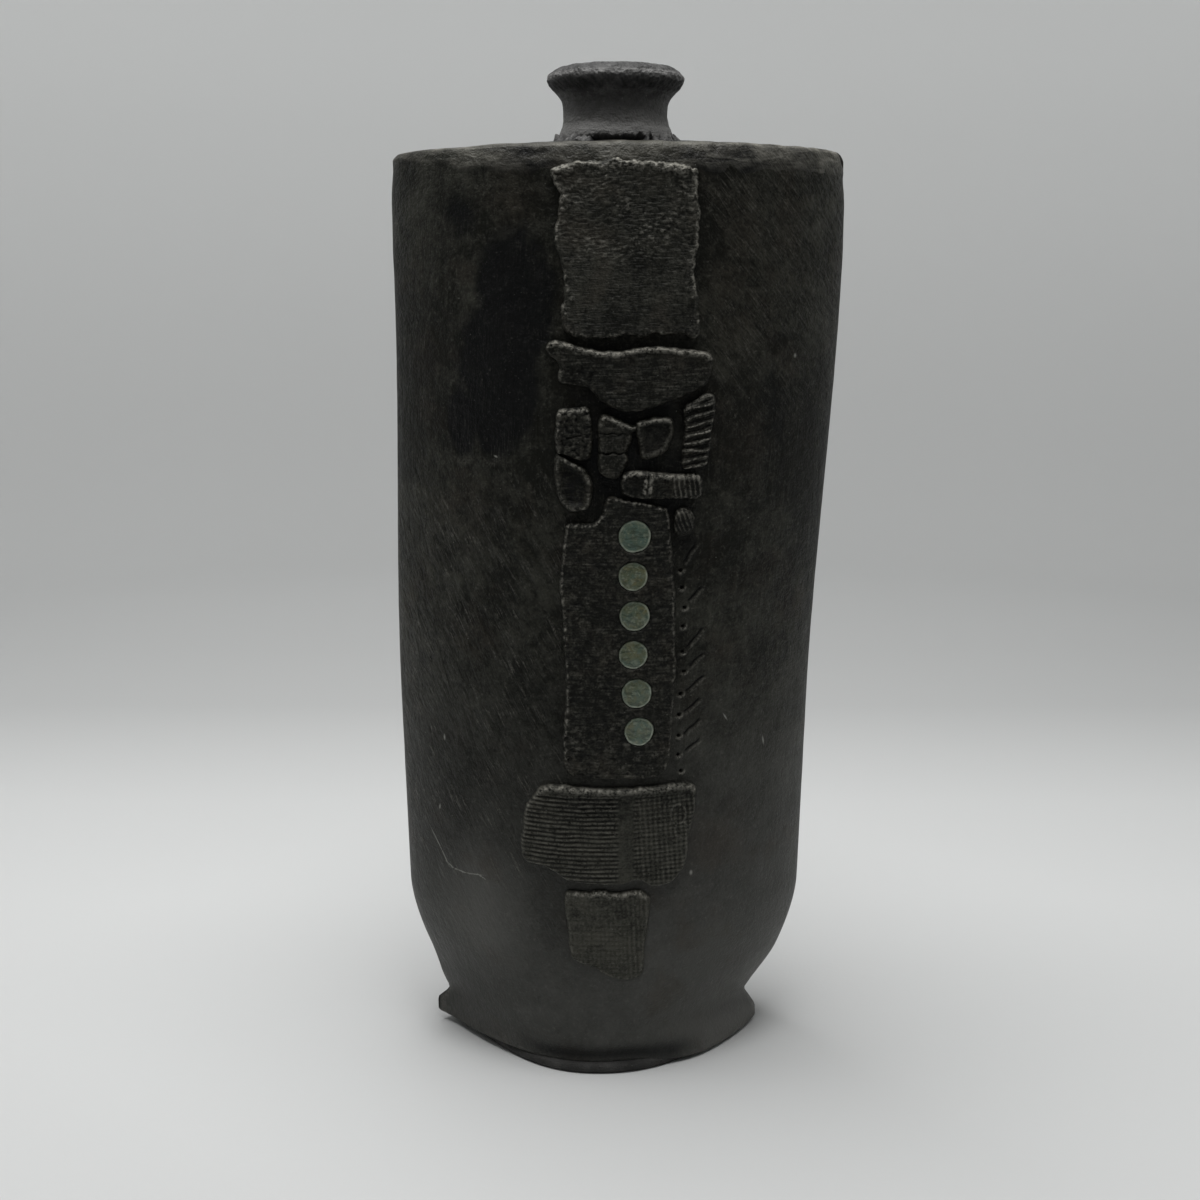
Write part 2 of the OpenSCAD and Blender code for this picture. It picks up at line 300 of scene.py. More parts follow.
class Finish:
    """Short names for the nodes of one procedural material. Sizes are in mm."""

    def __init__(self, name):
        self.material = bpy.data.materials.new(name)
        self.material.use_nodes = True
        self.tree = self.material.node_tree
        self.tree.nodes.clear()
        self.place = self.node("TexCoord", {}).outputs["Object"]
        split = self.node("SeparateXYZ", {"Vector": self.place})
        self.x, self.y, self.z = (self.times(part, 1 / MM) for part in split.outputs)

    def node(self, kind, inputs):
        """A new node with its inputs set to values or linked to sockets."""
        made = self.tree.nodes.new("ShaderNode" + kind)
        for name, value in inputs.items():
            if isinstance(value, bpy.types.NodeSocket):
                self.tree.links.new(value, made.inputs[name])
            else:
                made.inputs[name].default_value = value
        return made

    def math(self, operation, parts, clamp=False):
        """The parts taken together two by two."""
        result = parts[0]
        for part in parts[1:]:
            made = self.node("Math", {0: result, 1: part})
            made.operation = operation
            made.use_clamp = clamp
            result = made.outputs[0]
        return result

    def times(self, *parts):
        return self.math("MULTIPLY", parts)

    def plus(self, *parts, clamp=False):
        return self.math("ADD", parts, clamp)

    def most(self, *parts):
        return self.math("MAXIMUM", parts)

    def total(self, *parts):
        """Sum of (value, weight) pairs."""
        return self.plus(*(self.times(value, weight) for value, weight in parts))

    def step(self, value, low, high):
        """0 at low and 1 at high, with a smooth step between; high may be the lower."""
        made = self.node("MapRange", {"Value": value, "From Min": low, "From Max": high})
        made.interpolation_type = "SMOOTHSTEP"
        return made.outputs[0]

    def placed(self, size, turn=0.0, spot=(0, 0, 0)):
        """Coordinates from a spot in units of size (x, y, z), turned in the front's plane."""
        inputs = {
            "Vector": self.place,
            "Location": [part * MM for part in spot],
            "Rotation": (0, math.radians(turn), 0),
            "Scale": [part * MM for part in size],
        }
        made = self.node("Mapping", inputs)
        made.vector_type = "TEXTURE"
        return made.outputs[0]

    def noise(self, size, detail=2.0, turn=0.0, shift=0.0, warp=0.0):
        """Noise from 0 to 1; size is one number, or three."""
        size = (size,) * 3 if isinstance(size, (int, float)) else size
        place = self.placed(size, turn, (shift,) * 3)
        inputs = {"Vector": place, "Scale": 1.0, "Detail": detail, "Distortion": warp}
        return self.node("TexNoise", inputs).outputs[0]

    def specks(self, apart, radius):
        """1 on scattered specks; radius is a part of the distance between them."""
        inputs = {"Vector": self.placed((apart,) * 3), "Scale": 1.0}
        away = self.node("TexVoronoi", inputs).outputs["Distance"]
        return self.step(away, radius, radius * 0.4)

    def near(self, x, z, wide, high, turn=0.0):
        """1 at a point of the front and 0 outside an oval round it."""
        place = self.placed((wide, 1, high), turn, (x, 0, z))
        flat = self.node("VectorMath", {0: place, 1: (1, 0, 1)})
        flat.operation = "MULTIPLY"
        away = self.node("VectorMath", {0: flat.outputs[0]})
        away.operation = "LENGTH"
        return self.step(away.outputs["Value"], 1.0, 0.0)

    def attribute(self, name):
        made = self.node("Attribute", {})
        made.attribute_name = name
        return made.outputs["Fac"]

    def blend(self, factor, a, b):
        """Colour a, going to colour b as the factor goes to 1."""
        a, b = ((*end, 1) if isinstance(end, tuple) else end for end in (a, b))
        made = self.node("Mix", {0: factor, COLOUR_A: a, COLOUR_B: b})
        made.data_type = "RGBA"
        return made.outputs[COLOUR_OUT]

    def bump(self, height, depth):
        """Surface normal from a height of 0 to 1 that stands for depth mm."""
        return self.node("Bump", {"Height": height, "Distance": depth * MM}).outputs[0]

    def surface(self, colour, roughness, normal, specular=0.5, coat=0.0, coat_rough=0.2):
        inputs = {"Base Color": colour, "Roughness": roughness, "Normal": normal}
        shader = self.node("BsdfPrincipled", inputs)
        shader.inputs["Specular IOR Level"].default_value = specular
        shader.inputs["Coat Weight"].default_value = coat
        shader.inputs["Coat Roughness"].default_value = coat_rough
        self.node("OutputMaterial", {"Surface": shader.outputs[0]})
        return self.material


# Clay colours
# Soot black, also the colour of the painted shade that the meshes ask for in hollows, gaps and
# under edges
SOOT_AND_SHADE = (0.0028, 0.0033, 0.004)
DARK = (0.0085, 0.0088, 0.0062)
GREY = (0.072, 0.0715, 0.058)
DARK_BROWN = (0.014, 0.0105, 0.0072)
BROWN = (0.055, 0.042, 0.03)
# Pale dust, also the colour of painted highlights: glints on scratches and bright upward edges
DUST_AND_HIGHLIGHT = (0.27, 0.26, 0.225)
PALE = (0.42, 0.42, 0.38)
# Neutral grey of the lower body, partly a painted sheen
LOW_GREY = (0.082, 0.082, 0.075)
# Paler grey low on the front, partly paler clay and partly a painted sheen
PALE_AND_SHEEN_GREY = (0.145, 0.143, 0.133)
# Pale dust of the bare clay, also the painted light on the lower neck
BARE_DUST_AND_LIGHT = (0.33, 0.325, 0.315)
NECK_DULL = (0.072, 0.071, 0.0705)
NECK_PALE = (0.25, 0.247, 0.242)
BASE_DULL = (0.01, 0.0098, 0.0092)
RAW_CLAY = (0.06, 0.057, 0.052)
INNER_DARK = (0.025, 0.024, 0.022)

# Glaze colours
TEAL = (0.1, 0.155, 0.122)
GREEN = (0.118, 0.136, 0.076)
YELLOW = (0.2, 0.175, 0.075)
MILKY = (0.28, 0.31, 0.23)
CRACKLE = (0.035, 0.05, 0.036)
# Pale edge of the glaze, and the painted highlight on it
GLAZE_EDGE_AND_HIGHLIGHT = (0.45, 0.5, 0.4)

# Smoke-blackened places on the front: x, z, half width, half height, lean, depth
SMOKE = [
    (-46, 303, 13, 16, 14, 0.42), (-27, 276, 20, 36, 0, 1.25), (-33, 252, 21, 40, 0, 1.2),
    (-46, 236, 8, 18, 0, 1.3), (-36.5, 236, 8, 17, 0, 1.3), (12, 225, 52, 90, 0, 0.46),
    (60, 235, 16, 40, 0, 0.35),
]
# Paler and darker places on the front: x, z, half width, half height, change. The three paler
# places low on the body are partly a painted sheen.
CLOUDS = [
    (52, 4, 34, 24, 0.5), (-42, 58, 26, 40, 0.45), (62, 60, 60, 170, 0.24),
    (-68, 235, 22, 100, -0.14),
]
# Warmer brown places on the front: x, z, half width, half height
WARM = [
    (-28, 307, 18, 14), (46, 285, 17, 48), (47, 232, 20, 26), (43, 158, 12, 10),
    (-46, 208, 20, 16), (41, 84, 20, 26), (20, 268, 16, 12),
]
# Small pale chips on the front: x, z, half width, half height, lean
CHIPS = [
    (-55, 122, 0.5, 1.8, 0), (-57.5, 95, 0.5, 1.6, 8), (-18.5, 89.5, 0.5, 1.8, -20),
    (44.5, 132.5, 0.4, 2.2, -30), (59, 121, 0.5, 2.6, -10), (33, 76, 0.8, 1.4, 0),
    (67, 257, 0.7, 1.1, 0), (-34.5, 224, 1.0, 0.5, 20),
]


def wall_finish(name, front):
    """Burnished clay: smoky clouds, burnishing strokes, dust and fine scratches, with painted
    glints and a painted sheen low on the body.
    """
    f = Finish(name)
    cloud = f.noise(48, 3, shift=7, warp=0.4)
    patchy = f.noise(17, 4, shift=31, warp=0.5)
    mottle = f.noise(4.5, 5, shift=57, warp=0.3)
    fleck = f.noise(1.5, 5, shift=77, warp=0.4)
    grain = f.noise(0.7, 4)
    streaks = f.noise((11, 9, 2.4), 4, shift=61, warp=0.7)

    # Places: the shoulder's band, the upper right, the left below the smoke, the foot
    band = f.step(f.z, 313, 318)
    ridged = f.times(f.step(f.total((f.x, 1.0), (patchy, 40)), 30, 70), f.step(f.z, 195, 265))
    left_low = f.times(f.step(f.x, 15, -25), f.step(f.z, 245, 190))
    low = f.step(f.z, 175, 70)
    foot = f.step(f.z, 90, 25)

    def by_place(plain, on_ridged, on_left):
        return f.blend(left_low, f.blend(ridged, plain, on_ridged), on_left)

    strokes = by_place(
        f.noise((1.2, 3, 11), 4, turn=5, warp=0.6),
        f.noise((1.7, 3, 8), 3, turn=-44, shift=5, warp=0.6),
        f.noise((1.3, 3, 9), 4, turn=-24, shift=3, warp=0.6),
    )
    scratch = by_place(
        f.noise((0.5, 3, 9), 3, turn=3, shift=43, warp=0.8),
        f.noise((0.7, 3, 10), 3, turn=-38, shift=53, warp=0.6),
        f.noise((0.9, 3, 10), 3, turn=-28, shift=47, warp=0.7),
    )
    broad = f.noise((3.4, 4, 17), 4, turn=-28, shift=71, warp=0.8)
    broad = f.times(broad, left_low, f.total((low, -0.85), (1.0, 1.0)))

    # Tone from the darkest clay (0) to the palest (1)
    drawn = f.total((ridged, 0.08), (left_low, -0.04), (low, -0.06), (1.0, 0.1))
    tone = f.total(
        (cloud, 1.15), (patchy, 1.1), (mottle, 0.9), (fleck, 0.9), (grain, 0.7),
        (f.step(strokes, 0.36, 0.64), drawn), (broad, 0.8), (left_low, -0.34), (low, 0.1),
        (1.0, -2.45),
    )
    calm = f.total((low, -0.5), (1.0, 1.0))
    # Paler low on the body and at the foot: partly paler clay, partly a painted sheen of light off
    # the floor
    tone = f.total((f.times(tone, calm), 1.0), (low, 0.31), (foot, 0.32), (1.0, 0.18))
    ragged = f.times(f.plus(f.noise(9, 5, shift=2, warp=0.6), -0.5), 1.8)
    if front:
        for *spot, change in CLOUDS:
            tone = f.plus(tone, f.times(f.near(*spot), change))
        smoke = f.most(*(f.times(f.near(*spot), depth) for *spot, depth in SMOKE))
        smoke = f.step(f.plus(smoke, f.times(smoke, ragged)), 0.14, 0.52)
        warm = f.most(*(f.near(*spot) for spot in WARM))
        warm = f.times(warm, f.step(patchy, 0.35, 0.6), 0.45)
    else:
        smoke = f.times(f.step(f.noise(60, 3, shift=19), 0.45, 0.65), f.step(f.z, 90, 200))
        smoke = f.step(f.plus(smoke, f.times(smoke, ragged)), 0.08, 0.8)
        warm = f.times(f.step(f.noise(30, 3, shift=13), 0.5, 0.7), 0.6)
    warm = f.most(warm, f.times(f.step(f.noise(20, 3, shift=13), 0.53, 0.7), 0.35))
    tone = f.plus(tone, f.times(smoke, -0.12), clamp=True)

    # Neutral paler grey low down, partly a painted sheen
    colour = f.blend(tone, DARK, f.blend(low, GREY, LOW_GREY))
    if front:
        # Paler grey at the right foot and the lower left: partly paler clay, partly a painted sheen
        paler_and_sheen = f.most(f.near(66, 6, 50, 36), f.times(f.near(-42, 60, 24, 38), 0.45))
        colour = f.blend(f.times(paler_and_sheen, 0.8), colour, PALE_AND_SHEEN_GREY)
    colour = f.blend(warm, colour, f.blend(tone, DARK_BROWN, BROWN))
    colour = f.blend(f.times(smoke, 0.86), colour, SOOT_AND_SHADE)

    # Painted glints: pale colour along fine scratches where they would catch the light, and on
    # flecks
    sparkle = f.step(grain, 0.42, 0.64)
    scuffed = f.times(f.step(f.noise(12, 3, shift=23), 0.4, 0.62), f.step(f.z, 20, 130))
    scored = f.times(f.step(scratch, 0.52, 0.66), scuffed)
    faint = f.total((left_low, 0.38), (ridged, 0.2), (1.0, 0.04))
    glints = f.times(scored, f.total((sparkle, 0.7), (1.0, 0.3)), faint)
    glints = f.plus(glints, f.times(f.step(fleck, 0.56, 0.72), sparkle, 0.1))
    colour = f.blend(glints, colour, DUST_AND_HIGHLIGHT)
    specks = f.most(f.times(f.specks(8, 0.03), 0.45), f.times(f.specks(2.6, 0.09), 0.12))
    if front:
        specks = f.most(specks, *(f.times(f.near(*spot), 0.7) for spot in CHIPS))
        specks = f.most(specks, f.times(hairline(f), f.step(grain, 0.3, 0.5), 0.5))
    colour = f.blend(specks, colour, PALE)

    # Dust and painted highlights, and soot and painted shade, that the mesh asks for
    lying = f.blend(band, f.step(grain, 0.3, 0.62), f.step(streaks, 0.2, 0.7))
    colour = f.blend(f.times(f.attribute("wear_and_highlight"), lying), colour, DUST_AND_HIGHLIGHT)
    colour = f.blend(f.attribute("dark"), colour, SOOT_AND_SHADE)
    roughness = f.total((mottle, 0.3), (strokes, -0.3), (1.0, 0.45))
    relief = f.total(
        (strokes, f.total((ridged, 1.4), (left_low, 0.7), (low, -0.25), (1.0, 0.3))),
        (grain, 0.8), (f.times(band, streaks), 1.0), (broad, 3.5),
        (mottle, f.total((low, -1.2), (1.0, 2.0))), (fleck, 0.8),
        (scored, f.total((left_low, 1.3), (ridged, 0.7), (1.0, 0.1))),
    )
    return f.surface(colour, roughness, f.bump(relief, 0.45), 0.15)


def hairline(f):
    """A thin pale line low on the left of the front."""
    bends = [(-60.5, 84), (-57, 78), (-55, 74), (-52.5, 72.5), (-48, 72), (-43, 72.5), (-41, 71.5)]
    lines = []
    for (ax, az), (bx, bz) in zip(bends, bends[1:]):
        long = 1.1 * math.hypot(bx - ax, bz - az)
        turn = -math.degrees(math.atan2(bz - az, bx - ax))
        stretch = f.near((ax + bx) / 2, (az + bz) / 2, long, 0.3, turn)
        lines.append(f.step(stretch, 0.0, 0.35))
    return f.most(*lines)


def bare_finish(name, tone_low, tone_high, dull, pale):
    """Matt granular clay of the neck, collar and base, with the painted light and shade that the
    meshes ask for.
    """
    f = Finish(name)
    cloud = f.noise(16, 3, shift=4)
    grain = f.noise(0.7, 3)
    coarse = f.noise(2.4, 3, shift=9)
    rings = f.noise((9, 9, 1.1), 2, shift=5)
    tone = f.total((cloud, 0.6), (coarse, 0.5), (grain, 0.4), (rings, 0.3))
    tone = f.step(tone, tone_low, tone_high)
    colour = f.blend(tone, dull, pale)
    colour = f.blend(f.times(f.attribute("wear_and_highlight"), 0.85), colour, BARE_DUST_AND_LIGHT)
    colour = f.blend(f.attribute("dark"), colour, SOOT_AND_SHADE)
    colour = f.blend(f.times(f.specks(3.2, 0.1), 0.5), colour, PALE)
    normal = f.bump(f.total((grain, 0.9), (coarse, 1.2), (rings, 0.7)), 0.5)
    return f.surface(colour, f.total((coarse, 0.2), (1.0, 0.5)), normal, 0.2)


def patch_finish(name, warm):
    """Matt clay of the applied pieces, with dusty worn edges, painted highlights on edges that face
    upwards and painted shade in hollows.
    """
    f = Finish(name)
    cloud = f.noise(13, 3, shift=6)
    grain = f.noise(0.75, 4)
    coarse = f.noise(2.4, 5, shift=12, warp=0.4)
    drag = f.noise((4, 3, 0.6), 4, shift=8, warp=0.4)
    low = f.step(f.z, 130, 80)
    high = f.step(f.z, 262, 280)
    parts = ((cloud, 1.3), (drag, 0.8), (grain, 1.5), (coarse, 1.5), (low, 0.55), (high, 0.3))
    tone = f.plus(f.total(*parts), -2.4, clamp=True)
    colour = f.blend(tone, DARK, GREY)
    brown = f.blend(tone, DARK_BROWN, BROWN)
    colour = f.blend(f.times(f.step(cloud, 0.45, 0.7), warm), colour, brown)
    loose = f.step(f.total((grain, 0.6), (coarse, 0.4)), 0.36, 0.58)
    colour = f.blend(f.times(f.attribute("wear_and_highlight"), loose, 1.15), colour, DUST_AND_HIGHLIGHT)
    colour = f.blend(f.attribute("dark"), colour, SOOT_AND_SHADE)
    colour = f.blend(f.times(f.specks(4, 0.06), 0.3), colour, PALE)
    normal = f.bump(f.total((grain, 0.9), (drag, 1.3), (coarse, 0.8)), 0.42)
    return f.surface(colour, f.total((cloud, 0.2), (1.0, 0.45)), normal, 0.16)


def glaze_finish(name, blue):
    """Pooled pale green glaze, mottled yellow, with fine crackle and a pale edge that carries a
    painted highlight.
    """
    f = Finish(name)
    cloud = f.step(f.noise(3.4, 4, shift=blue * 17, warp=0.6), 0.3, 0.7)
    fine = f.noise(1.5, 4, shift=blue * 5, warp=1.0)
    colour = f.blend(f.plus(cloud, blue - 0.5, clamp=True), GREEN, TEAL)
    amber = f.times(f.step(f.noise(2.6, 3, shift=3 + blue), 0.5, 0.68), 0.75 - 0.6 * blue)
    colour = f.blend(amber, colour, YELLOW)
    colour = f.blend(f.times(f.step(fine, 0.5, 0.66), 0.6), colour, MILKY)
    lines = f.noise((3.5, 3, 1.1), 3, turn=8, shift=blue * 9, warp=0.9)
    colour = f.blend(f.times(f.step(lines, 0.49, 0.64), 0.65), colour, CRACKLE)
    colour = f.blend(f.attribute("wear_and_highlight"), colour, GLAZE_EDGE_AND_HIGHLIGHT)
    normal = f.bump(f.total((cloud, 1.0), (fine, 0.3)), 0.12)
    return f.surface(colour, f.total((fine, 0.2), (1.0, 0.2)), normal, 0.5, 0.3, 0.15)


def inner_finish(name):
    """Rough unfinished clay inside."""
    f = Finish(name)
    tone = f.total((f.noise(12, 3), 0.6), (f.noise(1.5, 3), 0.4))
    colour = f.blend(tone, INNER_DARK, RAW_CLAY)
    return f.surface(colour, 0.75, f.bump(f.noise(1.5, 3), 0.4), 0.3)


front_clay = wall_finish("smoked_front", True)
back_clay = wall_finish("smoked_back", False)
neck_clay = bare_finish("thrown_neck", 0.7, 1.2, NECK_DULL, NECK_PALE)
base_clay = bare_finish("base_sheet", 0.8, 1.4, BASE_DULL, RAW_CLAY)
patch_clay = patch_finish("torn_patch", 0.35)
band_clay = patch_finish("combed_patch", 0.1)
inside_clay = inner_finish("inside_clay")

# ---- wall slabs

# Grid of the walls: degrees round and mm up, coarse, and fine by the pricked holes
TURN_STEP = 0.95
FINE_TURN_STEP = 0.34
FINE_TURNS = (16.5, 29.5)
RISE_STEP = 1.25
FINE_RISE_STEP = 0.42
FINE_HEIGHTS = (110.0, 200.0)
# The inner face: rows, and outer columns to each of its own
INNER_ROWS = 18
SKIP = 4

# Rolled lower edge of the walls: lowest heights, and how far in the rows start
FOOT_LEVELS = [3.7, 4.0, 4.4, 4.9]
FOOT_INSETS = [0.6, 0.42, 0.25, 0.14, 0.05, 0.02]

# Pricked holes beside the panel: x, z
HOLES = [
    (28, 186), (28.5, 180), (29.5, 173), (29, 166.5), (29, 157.5), (29.5, 150.5),
    (28.5, 142.5), (28, 135), (28, 127.5), (28, 120.5), (29, 114.5),
]
# Scratches that rise to the right from the holes: x, z, then run and rise
SCRATCHES = [
    (28.5, 188, 4.5, 7), (30.5, 175, 5, 5), (30, 158.5, 6, 7), (31, 152, 5, 4.5),
    (30, 143, 6.5, 5.5), (29.5, 135.5, 6, 5), (29.5, 127.5, 6, 5.5), (30, 121.5, 5.5, 4),
]
# Lower ends of the finger marks at the left: x, z
FINGER_MARKS = [(-46, 222.5), (-36.5, 222.5)]


def front_relief(x, z):
    """Marks made in the front wall: height in mm, paleness and darkness. The paleness on burrs and
    ridges is a painted highlight, and the darkness in holes, scratches and the hollow is painted
    shade.
    """
    height = np.zeros_like(x)
    wear_and_highlight = np.zeros_like(x)
    dark = np.zeros_like(x)
    for hx, hz in HOLES:
        away = np.hypot(x - hx, z - hz)
        side = ((x - hx) * 0.35 - (z - hz) * 0.95) / np.maximum(away, 0.1)
        burr = hump(away, 1.05, 0.4) * smooth(0.5 + 0.9 * side)
        height += -1.4 * ramp(away, 0.85, 0.25) + 0.5 * burr
        # Painted shade in the hole, and a painted highlight on the burr below it
        dark = np.maximum(dark, 0.6 * ramp(away, 0.8, 0.3))
        wear_and_highlight = np.maximum(wear_and_highlight, 0.7 * burr)
    for sx, sz, run, rise in SCRATCHES:
        length = math.hypot(run, rise)
        along = ((x - sx) * run + (z - sz) * rise) / length
        across = ((z - sz) * run - (x - sx) * rise) / length
        across = across + 0.12 * np.sin(along * 1.1 + sz)
        on = within(along, 0.8, length - 0.6, 0.8)
        cut = on * hump(across / 0.5)
        burr = on * hump((across + 0.95) / 0.4)
        height += -0.6 * cut + 0.2 * burr
        # Painted shade in the scratch, and a painted highlight on its burr
        dark = np.maximum(dark, 0.75 * cut)
        wear_and_highlight = np.maximum(wear_and_highlight, 0.28 * burr)
    for fx, fz in FINGER_MARKS:
        beside = hump(x, fx, 3.6)
        curve = fz + 0.12 * (x - fx) ** 2
        height -= 0.55 * beside * smooth((z - curve) / 1.2) * smooth((fz + 26 - z) / 24)
        height += 0.3 * beside * hump(z - curve + 1.2)
        # Painted highlight on the raised lower end of each finger mark
        wear_and_highlight = np.maximum(wear_and_highlight, 0.2 * beside * hump((z - curve + 1.0) / 0.8))
    # The hollow over the base, in the middle of the foot, with painted shade in it
    groove = within(x, -16, 26, 16) * hump(z, 6.4, 3.0)
    height -= 1.3 * groove
    dark = np.maximum(dark, 0.8 * groove)
    return height, wear_and_highlight, dark


def wall_outside(turns, levels, insets, side):
    """Points, wear and dark of a wall's outer face; side is 1 in front and -1 behind."""
    seed = FRONT_SEED if side > 0 else BACK_SEED
    turn, z = np.meshgrid(turns, levels)
    spread = np.where(turn < 0, 0, flare(turn, z))
    outer = body_point(turn, z, insets[:, None] - spread) + foot_move(turn, z)
    x = outer[..., 0]
    outer[..., 2] += joint_rise(x * side) * ramp(z, 295, 319)
    away = np.abs(outer[..., 1])
    relief = wall_lumps(x, z, seed) * smooth(away / 9)
    # The seam at both sides
    relief -= 0.45 * hump(away / 1.1) * (0.7 + 0.6 * noise(z / 9, z * 0, seed + 5))
    wear_and_highlight = 0.25 * hump(away - 1.6)
    dark = 0.4 * hump(away / 0.7)
    if side > 0:
        height, pale, deep = front_relief(x, z)
        relief += height
        wear_and_highlight = np.maximum(wear_and_highlight, pale)
        dark = np.maximum(dark, deep)
    foot = ramp(z, 9, 4)
    crumbly = 0.5 + 0.5 * fractal(x, z, 3, seed + 9, 2)
    wear_and_highlight = np.maximum(wear_and_highlight, 0.2 * foot * crumbly)
    top = smooth((z - 316.5 + 2.5 * noise(x / 8, z / 8, seed + 11)) / 3.5)
    wear_and_highlight = np.maximum(wear_and_highlight, 0.14 * top * (0.8 + 0.4 * crumbly))
    outer += normals(outer) * (relief * smooth((z - WALL_FOOT) / 3))[..., None]
    outer[:, 0, 1] = outer[:, -1, 1] = 0
    return outer, wear_and_highlight, dark


def wall_slab(name, node, material, side, fine_turns=(0, 0), fine_heights=(0, 0)):
    """One wall slab, with its grid finer in the stretches given."""
    turns = marching(-90, 90, TURN_STEP, *fine_turns, FINE_TURN_STEP)
    heights = marching(FOOT_LEVELS[-1], WALL_TOP, RISE_STEP, *fine_heights, FINE_RISE_STEP)
    levels = np.concatenate([FOOT_LEVELS[:-1], heights])
    insets = np.zeros(len(levels))
    insets[: len(FOOT_INSETS)] = FOOT_INSETS
    insets[-1] = 0.1
    outer, wear_and_highlight, dark = wall_outside(turns, levels, insets, side)

    # The inner face has a coarser grid, joined to the outer one all round
    inner_levels = np.linspace(WALL_FOOT, WALL_TOP, INNER_ROWS)
    inner_turns = np.unique(np.append(turns[::SKIP], turns[-1]))
    inner = body_point(*np.meshgrid(inner_turns, inner_levels), WALL_T)
    inner[-1, :, 2] += joint_rise(inner[-1, :, 0] * side)
    points = np.concatenate([outer.reshape(-1, 3), inner.reshape(-1, 3)])
    points[:, 1] *= side
    out_index = np.arange(wear_and_highlight.size).reshape(wear_and_highlight.shape)
    in_index = wear_and_highlight.size + np.arange(inner[..., 0].size).reshape(inner.shape[:2])
    faces = grid_faces(*out_index.shape) + grid_faces(*in_index.shape, wear_and_highlight.size)
    for end in (0, -1):
        faces += zipped(out_index[end], turns, in_index[end], inner_turns)
        faces += zipped(out_index[:, end], levels, in_index[:, end], inner_levels)
    wear_and_highlight, dark = (np.append(mark, np.zeros(in_index.size)) for mark in (wear_and_highlight, dark))
    return piece(name, [node], points, faces, material, wear_and_highlight, dark)


wall_slab("front_wall", "front_slab", front_clay, 1, FINE_TURNS, FINE_HEIGHTS)
wall_slab("back_wall", "back_slab", back_clay, -1)

# ---- shoulder

# Outer edge of the shoulder: inset in mm, part of its thickness
SHOULDER_PROFILE = [
    (9.0, 0.02), (3.0, 0.0), (1.5, -0.35), (0.5, -0.6), (0.2, -0.45), (0.0, -0.3),
    (-0.12, -0.15), (-0.12, 0.0), (-0.02, 0.14), (0.15, 0.27), (0.35, 0.4), (0.6, 0.55),
    (0.9, 0.68), (1.3, 0.8), (1.8, 0.89), (2.5, 0.96), (3.4, 1.0),
]
SHOULDER_AROUND = 720
TOP_RINGS = 33


def shoulder(name):
    """The slab over the wall tops, with a worn rolled edge and a seat for the neck."""
    turns = np.linspace(-90, 270, SHOULDER_AROUND + 1)[:-1]
    angle = np.radians(turns)
    rise = SHOULDER_H - WALL_TOP

    def crown(x):
        """How far the top bows up."""
        u = (x - centre_x(SHOULDER_H)) / half_w(SHOULDER_H) - 0.2
        return 1.2 * (1 - u * u)

    # kind is 0 to 1 up the edge, 1 to 2 over the top and 3 in the seat and hole
    rings, kinds = [], []
    for inset, part in SHOULDER_PROFILE:
        z = WALL_TOP + rise * part
        ring = body_point(turns, np.full_like(turns, z), inset)
        side = np.where(np.cos(angle) >= 0, 1, -1)
        ring[:, 2] += joint_rise(ring[:, 0] * side) * (1 - part) + crown(ring[:, 0]) * part
        rings.append(ring)
        kinds.append(np.full_like(turns, part))
    rim = body_point(turns, np.full_like(turns, SHOULDER_H), SHOULDER_PROFILE[-1][0])
    for part in np.linspace(0, 1, TOP_RINGS + 1)[1:]:
        ring = rim * (1 - part) + about_neck(SEAT_R, angle, 0) * part
        ring[:, 2] = SHOULDER_H + 1 - (1 - part) ** 2 + crown(ring[:, 0])
        rings.append(ring)
        kinds.append(np.full_like(turns, 1 + part))
    for radius, z in ((SEAT_R, SEAT_Z), (HOLE_R, SEAT_Z), (HOLE_R, WALL_TOP)):
        rings.append(about_neck(radius, angle, z))
        kinds.append(np.full_like(turns, 3))
    points = np.stack(rings)
    kind = np.stack(kinds)
    x, y, z = points[..., 0], points[..., 1], points[..., 2]
    bulk = (kind < 2.05) & (np.arange(len(kind))[:, None] > 3)
    along = x + 0.6 * np.sign(y) * np.abs(y)
    worn = 0.25 * fractal(along, z * 1.3, 9, 60, 3) + 0.05 * fractal(along, z * 2, 2.2, 63, 2)
    nick = hump(x, 38, 1.1) * hump(z, 324, 1.6) * (y < 0)
    edge = smooth(1.0 - kind) * (kind < 1)
    lumps = np.where(y < 0, wall_lumps(x, z, FRONT_SEED), wall_lumps(x, z, BACK_SEED))
    lumps *= smooth(np.abs(y) / 9) * edge
    fade = bulk * np.where(kind > 1.9, 0.3, 1.0)
    points = points + normals(points) * ((worn - 0.9 * nick) * fade + lumps)[..., None]
    on_edge = smooth((kind + 0.5) / 0.5) * ramp(kind, 1.05, 0.95)
    wear_and_highlight = on_edge * (0.27 + 0.12 * ramp(x, 20, 40) + 0.3 * fractal(along, z * 2, 8, 66, 3))
    wear_and_highlight += 0.32 * within(kind, 0.9, 1.05, 0.1)
    faces = grid_faces(*kind.shape, round_cols=True, round_rows=True)
    # The nick in the edge is painted darker, as painted shade in the dent
    return piece(
        name, ["shoulder_slab"], points, faces, back_clay, wear_and_highlight, 0.3 * nick
    )


shoulder("shoulder_sheet")

# ---- base


BASE_AROUND = 540
# Edge of the base from below to above: inset in mm, part of its thickness
BASE_PROFILE = [
    (30, 0.0), (6, 0.0), (1.5, 0.0), (0.7, 0.08), (0.2, 0.26), (0.0, 0.5), (0.2, 0.7),
    (0.6, 0.84), (1.2, 0.94), (1.9, 0.99), (5, 1.0), (30, 1.0),
]


